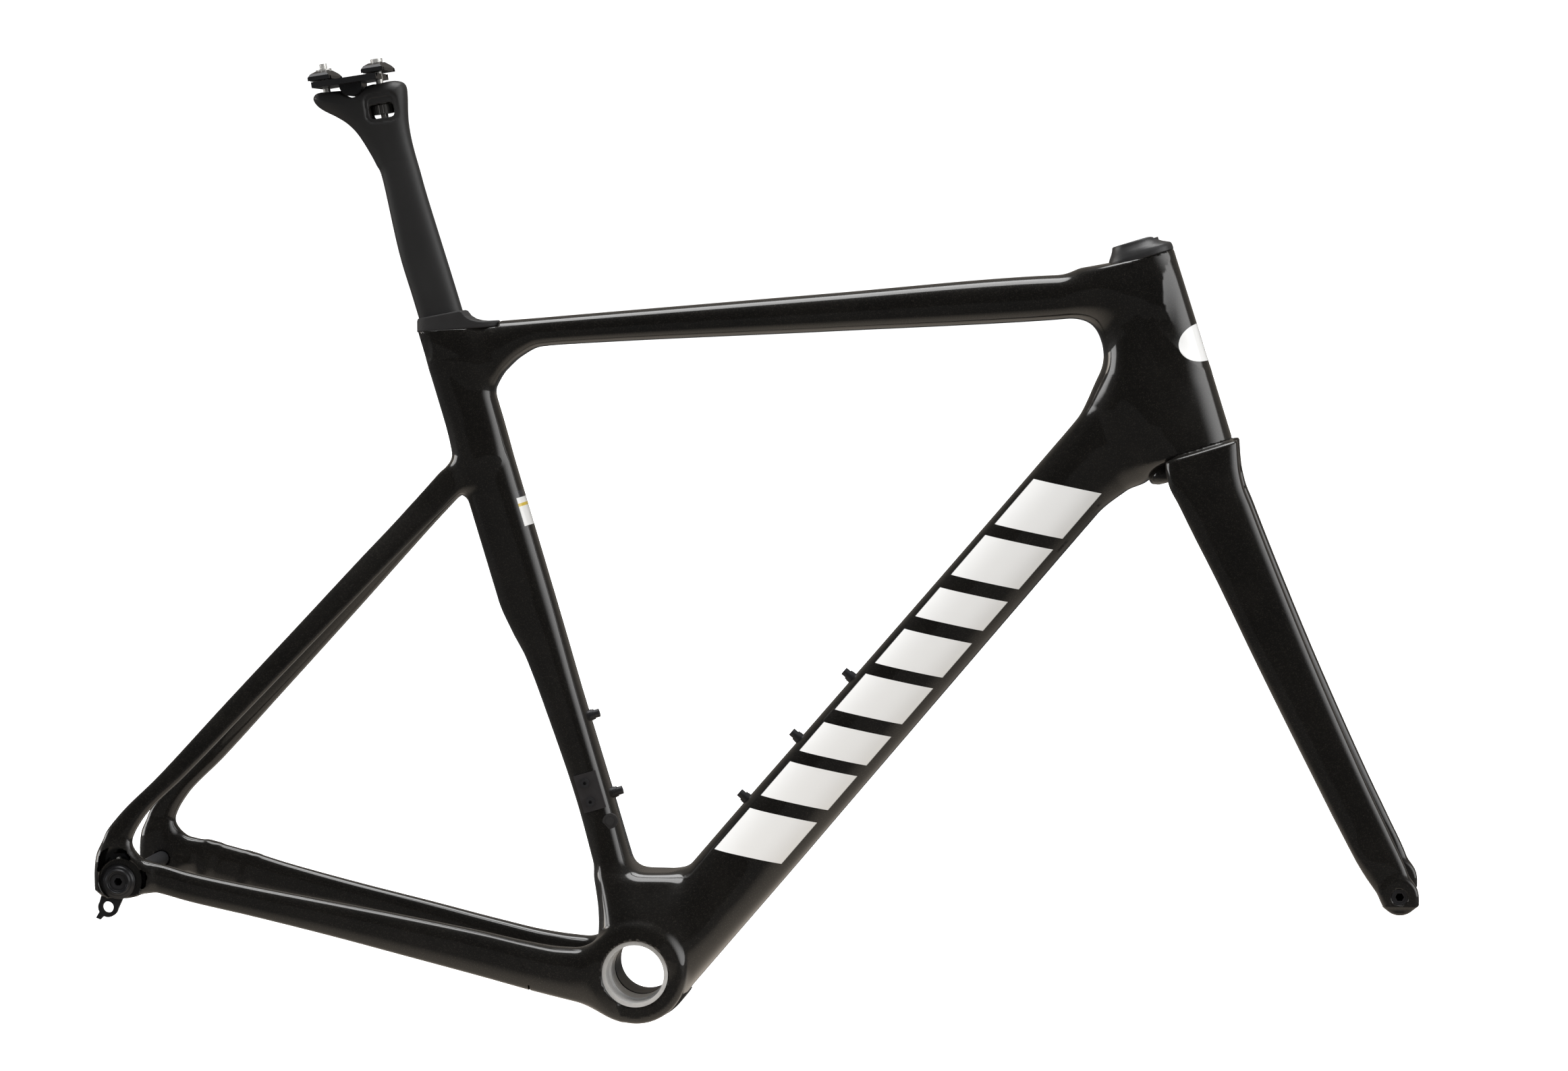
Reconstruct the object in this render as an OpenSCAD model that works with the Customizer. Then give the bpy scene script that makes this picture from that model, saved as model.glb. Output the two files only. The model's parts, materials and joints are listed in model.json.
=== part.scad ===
// Carbon road disc frameset: frame, fork, headset, seatpost and axles.
// Millimetres. X points forward, Y to the rider's left, Z up.
// The origin is the centre of the bottom bracket.

/* [Wheel positions] */
// Chain stay length, from bottom bracket centre to rear axle
chain_stay_length = 412; // [410:0.5:414]
// Height of both axles above the bottom bracket
bb_drop = 72.5; // [71.5:0.5:73.5]
// Wheelbase, rear axle to front axle
wheelbase = 1003; // [1001:0.5:1005]
// Rear hub width between the dropout faces
rear_hub_width = 142; // [141:0.5:143]
// Front hub width between the fork ends
front_hub_width = 100; // [99:0.5:101]

/* [Angles] */
// Seat tube angle from the ground
seat_angle = 73.2; // [73:0.1:73.4]
// Steering axis angle from the ground
head_angle = 73; // [72.9:0.1:73.1]
// Down tube angle from the ground
down_angle = 49.5; // [49.4:0.1:49.6]
// Fork rake, from the steering axis to the front axle
fork_rake = 48; // [47:0.5:49]

/* [Bottom bracket] */
// Radius of the shell that the tubes meet
shell_radius = 40; // [39:0.5:41]
// Bore radius of the threaded sleeves
bb_bore_radius = 23; // [22.5:0.1:23.5]
// Width over the sleeve faces
bb_width = 86; // [85:0.5:87]

/* [Head tube] */
// Distance along the steering axis to the bottom of the head tube
head_bottom = 268.2; // [268:0.1:269]
// Head tube length
head_length = 155.8; // [155:0.2:157]
// Radius of the lower bearing seat
lower_seat_radius = 23.5; // [23.3:0.1:23.6]
// Radius of the upper bearing seat
upper_seat_radius = 20.95; // [20.8:0.05:21]

/* [Seatpost] */
// Fore and aft depth of the seatpost
post_depth = 35; // [34:0.5:35.5]
// Side to side width of the seatpost
post_width = 21; // [20:0.5:22]
// Gap left around the seatpost in its socket
post_gap = 0.3; // [0.2:0.05:0.4]
// Radius of a saddle rail
rail_radius = 3.5; // [3.4:0.05:3.6]
// Half the distance between the saddle rails
rail_half_gap = 22; // [21.5:0.5:22.5]

/* [Walls] */
// Carbon wall of the main tubes
tube_wall = 1.8; // [1.6:0.1:2]
// Carbon wall of the stays
stay_wall = 1.8; // [1.6:0.1:2]

/* [Axles] */
// Radius of both thru axles
axle_radius = 6; // [5.9:0.05:6]
// Running gap around an axle
axle_gap = 0.08; // [0.05:0.01:0.1]

/* [Hidden] */

$fn = 64;

rear_axle_x = -sqrt(pow(chain_stay_length, 2) - pow(bb_drop, 2));
front_axle_x = rear_axle_x + wheelbase;
seat_lean = 90 - seat_angle;
head_lean = 90 - head_angle;
head_reach = front_axle_x*cos(head_lean) + bb_drop*sin(head_lean) - fork_rake;
head_top = head_bottom + head_length;
crown_top = head_bottom - 1;
crown_base = 228;
crown_sweep = 49;
steerer_radius = 14.3;
lower_steerer_radius = 15.8;

// Offset of the seatpost's centre line from the bottom bracket centre
post_offset = -3.6;
post_bottom = 405;
socket_bottom = 308;

// Frame joint line under the seat collar boot, and the boot's front tip
boot_line = 505.2;
boot_rear_x = -178;
boot_front_x = -113.5;
boot_slope = 3.5;

// Front derailleur plate: its back edge across the seat tube, and its screws along it
plate_back = -5.5;
plate_screws = [139, 154.5];

// Saddle cradle: pivot height and place, and its forward rise
tilt_pivot = [-230, 700];
cradle_rise = 8.5;
bolt_reach = 21.5;
bolt_radius = 2.9;
rail_height = 6.2;
stud_slot = 4.4;
barrel_drop = -10.7;
window_drop = -21.4;
wheel_radius = 8.9;
clamp_reach = 8.7;
clamp_seat = 13.5;

// Slope of the chain stays, which the rear brake bolts stand square to
stay_slope = 15.5;

// Bottle bolts as distances along the seat tube and the down tube
seat_boss_places = [139.8, 203.8];
down_boss_places = [157.5, 221.5, 285.5];

// A point curve for a rounded section: power 2 is an ellipse, larger is boxier
function bulge(c, power) = sign(c)*pow(abs(c), 2/power);
function oval(depth, width, power, sides) = [
    for (i = [0:sides - 1]) let (a = 360*(i + 0.5)/sides)
        [depth/2*bulge(cos(a), power), width/2*bulge(sin(a), power)]];

// One level is [height, back, front, side offset, width]
function ring(level, power, sides) = [
    for (p = oval(level[2] - level[1], level[4], power, sides))
        [(level[1] + level[2])/2 + p[0], level[3] + p[1], level[0]]];
function inset(levels, wall) = [
    for (i = [0:len(levels) - 1]) let (l = levels[i])
        [l[0] + (i == 0 ? -1 : i == len(levels) - 1 ? 1 : 0),
         l[1] + wall, l[2] - wall, l[3], l[4] - 2*wall]];

// A smooth tube through a stack of rounded sections, low to high
module stack(levels, power = 2.8, sides = 24) {
    last = len(levels) - 1;
    points = [for (level = levels) each ring(level, power, sides)];
    walls = [for (r = [0:last - 1]) for (i = [0:sides - 1])
        let (j = (i + 1)%sides, a = r*sides, b = a + sides)
        each [[a + i, b + j, a + j], [a + i, b + i, b + j]]];
    base = [[for (i = [0:sides - 1]) i]];
    lid = [[for (i = [sides - 1:-1:0]) last*sides + i]];
    polyhedron(points, concat(base, walls, lid));
}
module hollow_stack(levels, wall, power = 2.8, sides = 24) {
    difference() {
        stack(levels, power, sides);
        stack(inset(levels, wall), power, sides);
    }
}

// Frames of reference: Z along the tube, X to its front or lower side
module along_seat() { rotate([0, -seat_lean, 0]) children(); }
module along_head() { rotate([0, -head_lean, 0]) translate([head_reach, 0, 0]) children(); }
module along_down() { rotate([0, 90 - down_angle, 0]) children(); }
module along_x() { mirror([1, 0, -1]) children(); }
module to_left() { mirror([0, 1, 0]) children(); }
module at_rear_axle() { translate([rear_axle_x, 0, bb_drop]) children(); }
module at_front_axle() { translate([front_axle_x, 0, bb_drop]) children(); }
module on_cradle() {
    translate([tilt_pivot[0], 0, tilt_pivot[1]]) rotate([0, -cradle_rise, 0]) children();
}
// A round bar along Y from y0 to y1, and a side outline given as X and Z
module cross_bar(r, y0, y1) {
    translate([0, y0, 0]) rotate([-90, 0, 0]) cylinder(r = r, h = y1 - y0);
}
module side_slab(y0, y1, outline) {
    translate([0, y1, 0]) rotate([90, 0, 0]) linear_extrude(y1 - y0) polygon(outline);
}

// Outlines of the tubes
seat_levels = [
    [60, -14, 17, 0, 52], [95, -12, 17.5, 0, 46], [140, -11, 18, 0, 40],
    [220, -14, 18, 0, 36], [262, -17, 18.5, 0, 34], [285, -22.5, 18.8, 0, 33],
    [300, -25, 19, 0, 32], [545, -24.5, 20, 0, 31]];
head_levels = [
    [head_bottom, -50, 24.4, 0, 52], [300, -51.5, 24.2, 0, 49],
    [400, -51.5, 23.6, 0, 46], [head_top, -50, 23.2, 0, 46]];
top_levels = [
    [-140, 462, 511, 0, 31], [-117, 462, 513, 0, 31], [-108, 474, 513.8, 0, 31.5],
    [-96, 485, 514.8, 0, 32], [-80, 493, 516.1, 0, 32], [-50, 495, 518.7, 0, 33],
    [345, 516, 552.2, 0, 40], [355, 514.5, 553.6, 0, 41], [362, 507, 555, 0, 42],
    [369, 495, 556.4, 0, 43]];
down_levels = [
    [2, -24, 40, 0, 72], [70, -24, 40, 0, 60], [130, -24, 40, 0, 50],
    [220, -23.5, 39.5, 0, 44], [510, -22.3, 38.5, 0, 42], [540, -22.3, 44, 0, 43],
    [556, -22.5, 49.5, 0, 44], [600, -29, 52, 0, 44]];
pedestal_levels = [
    [0, -36, 38, 0, 84], [30, -33, 40, 0, 78], [55, -32.5, 39, 0, 62], [82, -38, 37, 0, 50]];
chain_right_levels = [
    [-376, 64, 87, -75, 13], [-350, 57, 80, -74, 14], [-300, 45.5, 69.5, -70.5, 15],
    [-240, 30.5, 58, -65, 16], [-180, 14, 46, -57.5, 17], [-120, -3, 33, -48, 18.5],
    [-85, -13.5, 24.5, -41, 21], [-60, -20.5, 20, -35.5, 24], [-20, -31, 18, -28.5, 22]];
chain_left_levels = [
    [-376, 64, 87, -75, 13], [-350, 57, 80, -74, 14], [-300, 45.5, 69, -70.5, 15],
    [-240, 30.5, 55, -65, 16], [-180, 14, 42, -57.5, 17], [-120, -3, 29, -48, 18.5],
    [-85, -13.5, 22.5, -41, 21], [-60, -20.5, 20, -35.5, 24], [-20, -31, 18, -28.5, 22]];
seat_stay_levels = [
    [108, -417.5, -394.5, -75, 13], [125, -405.5, -384.5, -73.8, 12.5],
    [155, -375.5, -354.5, -70, 12], [210, -325.8, -302.5, -58, 11.5],
    [280, -262, -236.5, -41, 11.5], [330, -217, -189.5, -25.5, 12],
    [350, -198.7, -170.5, -19, 13], [370, -181, -151, -13.2, 14],
    [392, -161, -128, -9.6, 16], [410, -146, -112, -9, 17]];
crown_levels = [
    [crown_base, -28, 23.2, 0, 88], [240, -30.5, 24, 0, 82], [250, -34.5, 25, 0, 74],
    [256, -45.5, 26, 0, 60], [263, -45, 26, 0, 54], [crown_top, -40, 25.5, 0, 50]];
blade_levels = [
    [72, 583, 611, -56.5, 12.6], [92, 568, 603, -56.5, 13], [120, 552.6, 590, -54, 14],
    [160, 532, 571, -51, 15], [250, 486.5, 531, -44.5, 17], [315, 454.6, 504, -39, 18.5],
    [350, 436.5, 490, -36, 19.5], [390, 420, 474, -34, 20]];
dropout_outline = [
    [-17, 0], [-16.5, -10], [-14, -14], [10, -14], [20, -10], [29.6, -8.5], [29.6, 14.5],
    [24, 15.5], [18, 18.5], [13, 25], [11, 31], [11.1, 35.5], [-11.9, 35.5], [-14.5, 26],
    [-16.5, 14]];
post_head_outline = [
    [-215, 641], [-217.7, 648.3], [-225.8, 662.7], [-233.6, 669.6], [-242.4, 674.2],
    [-255.6, 680.6], [-260.5, 685], [-261.5, 689.2], [-259.5, 693], [-255.5, 694],
    [-240, 694.2], [-236, 691.5], [-230, 690.4], [-224, 692.3], [-219, 697.5], [-204, 702.2],
    [-194, 703.5], [-189.5, 701.8], [-187, 697.5], [-186.4, 683.7], [-185.4, 668],
    [-181, 645]];

// Volumes that several nodes give way to
module bb_envelope() {
    cross_bar(shell_radius, -bb_width/2 + 1, bb_width/2 - 1);
    stack(pedestal_levels, 3);
}
module boot_recess() {
    side_slab(-40, 40, [[-230, boot_line - 52*tan(boot_slope)],
        [boot_front_x, boot_line + (boot_front_x - boot_rear_x)*tan(boot_slope)],
        [boot_front_x, 560], [-230, 560]]);
}
module crown_swing() {
    along_head() translate([0, 0, 180]) cylinder(r = crown_sweep, h = head_bottom + 0.4 - 180);
}
module post_body(grow, low, high) {
    along_seat() translate([post_offset, 0, low]) linear_extrude(high - low)
        polygon(oval(post_depth + 2*grow, post_width + 2*grow, 2.6, 40));
}
module wedge_pocket() {
    along_seat() translate([post_offset + post_depth/2 - 2, -8.3, 492]) cube([11.5, 16.6, 60]);
}
module seat_boss_holes(r) {
    along_seat() for (s = seat_boss_places)
        translate([8, 0, s]) rotate([0, 90, 0]) cylinder(r = r, h = 20);
}
module down_boss_holes(r) {
    along_down() for (s = down_boss_places)
        translate([-34, 0, s]) rotate([0, 90, 0]) cylinder(r = r, h = 20);
}

// Frame tubes
module head_tube() {
    color("#141414") along_head() difference() {
        stack(head_levels, 2.8, 32);
        translate([0, 0, head_bottom - 1]) cylinder(r = lower_seat_radius, h = 9.3);
        translate([0, 0, head_top - 8]) cylinder(r = upper_seat_radius, h = 9);
        translate([0, 0, head_bottom + 8]) cylinder(r = 18.5, h = head_length - 15.5);
        stack([[290, -48.5, 20.5, 0, 42], [400, -48.5, 20, 0, 41]], 2.8, 24);
    }
}
module top_tube() {
    color("#141414") difference() {
        along_x() hollow_stack(top_levels, tube_wall);
        along_seat() stack(seat_levels, 3);
        along_head() stack(head_levels, 2.8, 32);
        boot_recess();
        wedge_pocket();
    }
}
module down_tube() {
    color("#141414") difference() {
        along_down() hollow_stack(down_levels, tube_wall, 3);
        bb_envelope();
        along_head() stack(head_levels, 2.8, 32);
        crown_swing();
        down_boss_holes(4.5);
    }
}
module seat_tube() {
    color("#141414") difference() {
        along_seat() stack(seat_levels, 3);
        post_body(post_gap, socket_bottom, 560);
        along_seat() stack([[58, -12.2, 15.2, 0, 48], [95, -10.2, 15.7, 0, 42],
            [140, -9.2, 16.2, 0, 36], [220, -12.2, 16.2, 0, 32], [262, -15.2, 16.7, 0, 30],
            [295, -18, 15, 0, 22], [socket_bottom + 1, -18, 12, 0, 16]], 3);
        bb_envelope();
        boot_recess();
        wedge_pocket();
        seat_boss_holes(4.5);
        front_derailleur_pad(0.01);
        port_hole(6);
    }
}
module bb_shell() {
    color("#141414") difference() {
        bb_envelope();
        cross_bar(26.2, -bb_width, bb_width);
        rotate([90, 0, 0]) rotate_extrude() translate([28.5, 0])
            polygon([[0, -37], [8.7, -37], [8.7, 37], [0, 37]]);
        difference() {
            stack([[10, -30, 34, 0, 70], [30, -29, 36, 0, 70], [55, -29, 35, 0, 56],
                [83, -34.5, 33.5, 0, 44]], 3);
            cross_bar(28.5, -50, 50);
        }
        cover_sector(37.6, 40.5, 22);
        rotate([0, 20, 0]) translate([0, 0, -45]) cylinder(r = 1.6, h = 15);
    }
}
module chain_stay(levels) {
    difference() {
        along_x() hollow_stack(levels, stay_wall);
        bb_envelope();
        along_seat() stack(seat_levels, 3);
    }
}
module chain_stay_right() { color("#141414") chain_stay(chain_right_levels); }
module chain_stay_left() {
    color("#141414") difference() {
        to_left() chain_stay(chain_left_levels);
        rear_brake_holes(4.5);
    }
}
module seat_stay_right() {
    color("#141414") difference() {
        hollow_stack(seat_stay_levels, stay_wall);
        along_seat() stack(seat_levels, 3);
    }
}
module seat_stay_left() { to_left() seat_stay_right(); }

// Dropouts, hanger and bottom bracket hardware
module dropout_plate(y0, y1) { at_rear_axle() side_slab(y0, y1, dropout_outline); }
module dropout_right() {
    y = -rear_hub_width/2;
    color("#1a1a1a") difference() {
        dropout_plate(y - 9, y - 4);
        at_rear_axle() cross_bar(9.6, y - 10, y - 3);
        at_rear_axle() translate([0, 0, 18]) cross_bar(1.5, y - 8, y - 3);
        at_rear_axle() translate([16, 0, 4]) cross_bar(1.5, y - 8, y - 3);
    }
}
module dropout_left() {
    y = rear_hub_width/2;
    color("#1a1a1a") difference() {
        dropout_plate(y, y + 9);
        at_rear_axle() cross_bar(axle_radius + axle_gap, y - 1, y + 10);
        at_rear_axle() cross_bar(9.4, y + 6, y + 10);
    }
}
module derailleur_hanger() {
    y = -rear_hub_width/2;
    color("#101010") at_rear_axle() difference() {
        union() {
            side_slab(y - 4, y, [[-13, -4], [-16.5, -17], [-17.5, -23], [-2, -23], [3, -12],
                [20, -4], [20, 9], [10, 14], [4, 22], [-5, 22], [-12, 10]]);
            translate([-9.7, 0, -21]) cross_bar(8, y - 4, y);
            side_slab(y - 4, y, [[-16.5, -24.5], [-19.5, -29.5], [-16, -31], [-13, -28]]);
            cross_bar(9.5, y - 10.5, y - 3);
        }
        cross_bar(axle_radius + axle_gap, y - 12, y + 1);
        translate([-9.7, 0, -21]) cross_bar(4.5, y - 5, y + 1);
        translate([0, 0, 18]) cross_bar(1.5, y - 5, y + 1);
        translate([16, 0, 4]) cross_bar(1.5, y - 5, y + 1);
    }
}
module hanger_screws() {
    y = -rear_hub_width/2;
    color("silver") at_rear_axle() for (p = [[0, 18], [16, 4]]) translate([p[0], 0, p[1]])
        difference() {
            union() {
                cross_bar(1.5, y - 7.9, y);
                cross_bar(2.7, y, y + 1.2);
            }
            cross_bar(0.9, y + 0.4, y + 2);
        }
}
module bb_sleeve(inner_end) {
    outer = -bb_width/2;
    difference() {
        union() {
            cross_bar(26.2, outer + 1, inner_end);
            cross_bar(26.2, outer, outer + 2);
        }
        cross_bar(bb_bore_radius, outer - 1, outer + 20);
        cross_bar(21.7, outer + 19, inner_end + 1);
    }
}
module bb_sleeve_right() { color("silver") bb_sleeve(-2); }
module bb_sleeve_left() { color("#202020") to_left() bb_sleeve(-2); }
module cover_sector(r0, r1, half_width) {
    rotate([90, 0, 0]) rotate([0, 0, -112]) rotate_extrude(angle = 84)
        polygon([[r0, -half_width], [r1, -half_width], [r1, half_width], [r0, half_width]]);
}
module bb_cable_cover() {
    color("#181818") difference() {
        cover_sector(37.6, 40, 22);
        rotate([0, 20, 0]) translate([0, 0, -45]) cylinder(r = 1.6, h = 15);
    }
}
module bb_cover_screw() {
    color("silver") rotate([0, 20, 0]) difference() {
        union() {
            translate([0, 0, -40.2]) cylinder(r = 1.6, h = 9.8);
            translate([0, 0, -41.4]) cylinder(r = 2.8, h = 1.3);
        }
        translate([0, 0, -42]) cylinder(r = 1.1, h = 1.4);
    }
}

// Seat cluster
module seat_collar_boot() {
    rise = tan(boot_slope);
    color("#1c1c1c") difference() {
        intersection() {
            side_slab(-19, 19, [[-179, boot_line - rise], [-178.5, 513], [-177, 515],
                [-141.6, 521.5], [-137.2, 516.1], [-131.8, 513.6],
                [boot_front_x, 513.3], [boot_front_x, boot_line + 64.5*rise]]);
            translate([0, 0, 480]) linear_extrude(60) translate([-146, 0])
                polygon(oval(66.5, 32, 2.9, 40));
        }
        post_body(post_gap, 480, 560);
        along_seat() translate([20.4, 0, 492]) cylinder(r = 3, h = 40);
    }
}
module wedge_shape() {
    along_seat() translate([post_offset + post_depth/2 + post_gap + 0.05, -8, 494])
        cube([8, 16, 13]);
}
module post_wedge() {
    color("silver") difference() {
        intersection() { wedge_shape(); wedge_pocket(); }
        along_seat() translate([18.2, 0, 490]) cylinder(r = 2.1, h = 30);
        post_body(post_gap, 480, 560);
    }
}
module post_wedge_bolt() {
    color("#303030") along_seat() translate([18.2, 0, 0]) difference() {
        union() {
            translate([0, 0, 495]) cylinder(r = 2.1, h = 12.2);
            translate([0, 0, 507]) cylinder(r = 3.4, h = 2.4);
        }
        translate([0, 0, 508]) cylinder(r = 1.6, h = 3, $fn = 6);
    }
}

// Bottle bosses, front derailleur mount and cable port
module bosses_at(places) {
    for (s = places) translate([0, 0, s]) rotate([0, 90, 0]) children();
}
module boss_shape() {
    difference() {
        union() {
            cylinder(r = 4.5, h = 12);
            translate([0, 0, 11.9]) cylinder(r = 4.2, h = 1.9);
        }
        translate([0, 0, -1]) cylinder(r = 2.5, h = 17);
    }
}
module boss_bolt_shape() {
    difference() {
        union() {
            translate([0, 0, 2]) cylinder(r = 2.5, h = 12);
            translate([0, 0, 13.8]) cylinder(r = 3.3, h = 4.2);
        }
        translate([0, 0, 15.6]) cylinder(r = 1.7, h = 3, $fn = 6);
    }
}
module bottle_bosses() {
    color("#262626") {
        along_seat() translate([8, 0, 0]) bosses_at(seat_boss_places) boss_shape();
        along_down() translate([-14, 0, 0]) bosses_at(down_boss_places)
            mirror([0, 0, 1]) boss_shape();
    }
}
module bottle_bolts() {
    color("#1a1a1a") {
        along_seat() translate([8, 0, 0]) bosses_at(seat_boss_places) boss_bolt_shape();
        along_down() translate([-14, 0, 0]) bosses_at(down_boss_places)
            mirror([0, 0, 1]) boss_bolt_shape();
    }
}
module front_derailleur_pad(grow) {
    along_seat() translate([plate_back - grow, -25, 131.5]) cube([18 + 2*grow, 9, 30.5]);
}
module front_derailleur_holes(r) {
    along_seat() for (s = plate_screws) translate([plate_back + 7.5, 0, s]) cross_bar(r, -27, -9);
}
module front_derailleur_plate() {
    color("#2a2a2a") difference() {
        along_seat() translate([plate_back, -20.5, 131.5]) cube([18, 4.5, 30.5]);
        front_derailleur_holes(2.1);
    }
}
module front_derailleur_screws() {
    color("#151515") along_seat() for (s = plate_screws)
        translate([plate_back + 7.5, 0, s]) difference() {
        union() {
            cross_bar(2.1, -21, -16.1);
            cross_bar(3.6, -22.6, -20.5);
        }
        translate([0, -23, 0]) rotate([-90, 0, 0]) cylinder(r = 1.5, h = 2, $fn = 6);
    }
}
module port_hole(r) { along_seat() translate([12.5, 0, 120]) cross_bar(r, -30, -14); }
module port_plug() {
    color("#101010") along_seat() translate([12.5, 0, 120]) {
        cross_bar(6, -20.5, -16);
        cross_bar(3.4, -21.2, -20.4);
    }
}
// Flat mount brake inserts
module rear_brake_places() {
    for (x = [-370, -337.2]) translate([x, 75 - (x + 370)*0.047, 60.5 - (x + 370)*0.267])
        rotate([0, stay_slope, 0]) children();
}
module rear_brake_holes(r) {
    rear_brake_places() translate([0, 0, -12]) cylinder(r = r, h = 50);
}
module rear_brake_inserts() {
    color("#2c2c2c") rear_brake_places() difference() {
        translate([0, 0, -1.5]) cylinder(r = 4.5, h = 27);
        translate([0, 0, -3]) cylinder(r = 2.6, h = 31);
    }
}

// Headset
module headset_cover() {
    color("#1c1c1c") along_head() difference() {
        stack([[head_top + 0.02, -27.4, 23.2, 0, 44], [head_top + 4.5, -26.6, 22.6, 0, 43],
            [head_top + 7, -23.5, 17.5, 0, 40], [head_top + 14, -19.5, 12, 0, 33]], 2.4, 32);
        translate([0, 0, head_top - 1]) cylinder(r = 17.6, h = 7);
        translate([0, 0, head_top]) cylinder(r = 15.2, h = 20);
    }
}
module bearing_ring(low, high, inner, outer) {
    along_head() translate([0, 0, low]) difference() {
        cylinder(r = outer, h = high - low);
        translate([0, 0, -1]) cylinder(r = inner, h = high - low + 2);
    }
}
module bearing_balls(height, pitch_radius, ball_radius, count) {
    along_head() for (i = [0:count - 1]) rotate([0, 0, 360*i/count])
        translate([pitch_radius, 0, height]) sphere(r = ball_radius, $fn = 24);
}
lower_race_low = head_bottom + 1.3;
upper_race_low = head_top - 8;
module upper_bearing_outer() {
    color("#8a8f94") bearing_ring(upper_race_low, head_top - 1.5, 18.9, upper_seat_radius);
}
module upper_bearing_balls() {
    color("silver") bearing_balls(head_top - 4.7, 17.65, 1.2, 20);
}
module upper_bearing_inner() {
    color("#8a8f94") bearing_ring(upper_race_low, head_top - 1.5, 15.1, 16.1);
}
module lower_bearing_outer() {
    color("#8a8f94") bearing_ring(lower_race_low, head_bottom + 8.3, 21.15, lower_seat_radius);
}
module lower_bearing_balls() {
    color("silver") bearing_balls(head_bottom + 4.8, 19.6, 1.5, 20);
}
module lower_bearing_inner() {
    color("#8a8f94") bearing_ring(lower_race_low, head_bottom + 8.3, 16.3, 17.8);
}
module crown_race() {
    color("#6f7377") bearing_ring(crown_top, lower_race_low, lower_steerer_radius, 19.5);
}
module compression_ring() {
    color("#2a2a2a") bearing_ring(head_top - 1.5, head_top + 5, steerer_radius, 16.4);
}

// Seatpost and saddle clamp
module seatpost() {
    color("#202020") difference() {
        union() {
            post_body(0, post_bottom, 688);
            side_slab(-13, 13, post_head_outline);
        }
        along_seat() translate([post_offset, 0, post_bottom - 1]) linear_extrude(225)
            polygon(oval(post_depth - 5, post_width - 5, 2.6, 40));
        on_cradle() translate([bolt_reach, 0, window_drop]) {
            side_slab(-9.9, 9.9, [[-11.9, -8.6], [11.9, -8.6], [11.9, 6], [9.5, 8.6],
                [-9.5, 8.6], [-11.9, 6]]);
            side_slab(-20, 20, [[-9.9, -6.4], [-8, -8.3], [8, -8.3], [9.9, -6.4], [9.9, 2.6],
                [-9.9, 2.6]]);
            for (side = [-20, 11.3]) side_slab(side, side + 8.7, [[-10.2, -6.6], [-8.2, -8.6],
                [8.2, -8.6], [10.2, -6.6], [10.2, 6.6], [8.2, 8.6], [-8.2, 8.6], [-10.2, 6.6]]);
            translate([0, 0, -13]) cylinder(r = 5.8, h = 8);
        }
        on_cradle() translate([bolt_reach, 0, -14]) cylinder(r = 4.8, h = 20);
        on_cradle() translate([-bolt_reach, 0, -18]) cylinder(r = bolt_radius, h = 20);
        on_cradle() translate([-bolt_reach, 0, barrel_drop]) cross_bar(4.4, -7.5, 7.5);
        on_cradle() cross_bar(9.4, -14, 14);
    }
}
module seatpost_barrel_nut() {
    color("#9a9fa3") on_cradle() translate([-bolt_reach, 0, barrel_drop]) difference() {
        cross_bar(4.4, -7.5, 7.5);
        translate([0, 0, -6]) cylinder(r = bolt_radius, h = 12);
    }
}
module clamp_stud_rear() {
    color("silver") on_cradle() translate([-bolt_reach, 0, -17]) cylinder(r = bolt_radius, h = 37);
}
module rail_grooves() {
    for (side = [-1, 1]) translate([-40, side*rail_half_gap, rail_height]) rotate([0, 90, 0])
        cylinder(r = rail_radius, h = 80);
}
module rail_cradle() {
    color("#1c1c1c") on_cradle() difference() {
        union() {
            cross_bar(9, -12, 12);
            translate([-28, -27, 1]) cube([52, 54, 4.6]);
        }
        translate([-30, -28, 5.6]) cube([60, 56, 5]);
        rail_grooves();
        translate([bolt_reach, 0, -5]) cylinder(r = bolt_radius + 0.2, h = 16);
        translate([-bolt_reach, 0, -5]) cylinder(r = stud_slot, h = 16);
    }
}
module rail_clamp(place, hole) {
    color("#1c1c1c") on_cradle() translate([place, 0, 0]) difference() {
        intersection() {
            side_slab(-27, 27, [[-clamp_reach, 6.8], [clamp_reach, 6.8], [clamp_reach, 9.2],
                [5, 14.4], [-5, 14.4], [-clamp_reach, 9.2]]);
            translate([-10, 0, 0]) rotate([90, 0, 90]) linear_extrude(20) polygon([[-27, 6],
                [27, 6], [27, 10], [24.5, 12], [9, 14.5], [-9, 14.5], [-24.5, 12], [-27, 10]]);
        }
        rail_grooves();
        translate([0, 0, clamp_seat]) cylinder(r = 6.7, h = 3);
        cylinder(r = hole, h = 20);
    }
}
module rail_clamp_rear() { rail_clamp(-bolt_reach, stud_slot); }
module rail_clamp_front() { rail_clamp(bolt_reach, bolt_radius + 0.2); }
module clamp_nut_rear() {
    color("silver") on_cradle() translate([-bolt_reach, 0, clamp_seat]) difference() {
        cylinder(r = 6.2, h = 2.2);
        translate([0, 0, -1]) cylinder(r = stud_slot, h = 6);
    }
}
module clamp_bolt_front() {
    color("silver") on_cradle() translate([bolt_reach, 0, 0]) difference() {
        union() {
            translate([0, 0, -31]) cylinder(r = bolt_radius, h = 31 + clamp_seat);
            translate([0, 0, clamp_seat]) cylinder(r = 4.8, h = 4);
        }
        translate([0, 0, 15]) cylinder(r = 2.6, h = 4, $fn = 6);
    }
}
module tilt_adjuster_wheel() {
    color("#303234") on_cradle() translate([bolt_reach, 0, window_drop - 5]) difference() {
        cylinder(r = wheel_radius, h = 7);
        translate([0, 0, -1]) cylinder(r = bolt_radius + 0.06, h = 10);
        for (i = [0:17]) rotate([0, 0, 20*i]) translate([wheel_radius + 0.4, 0, -1])
            cylinder(r = 0.8, h = 10);
    }
}

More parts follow.
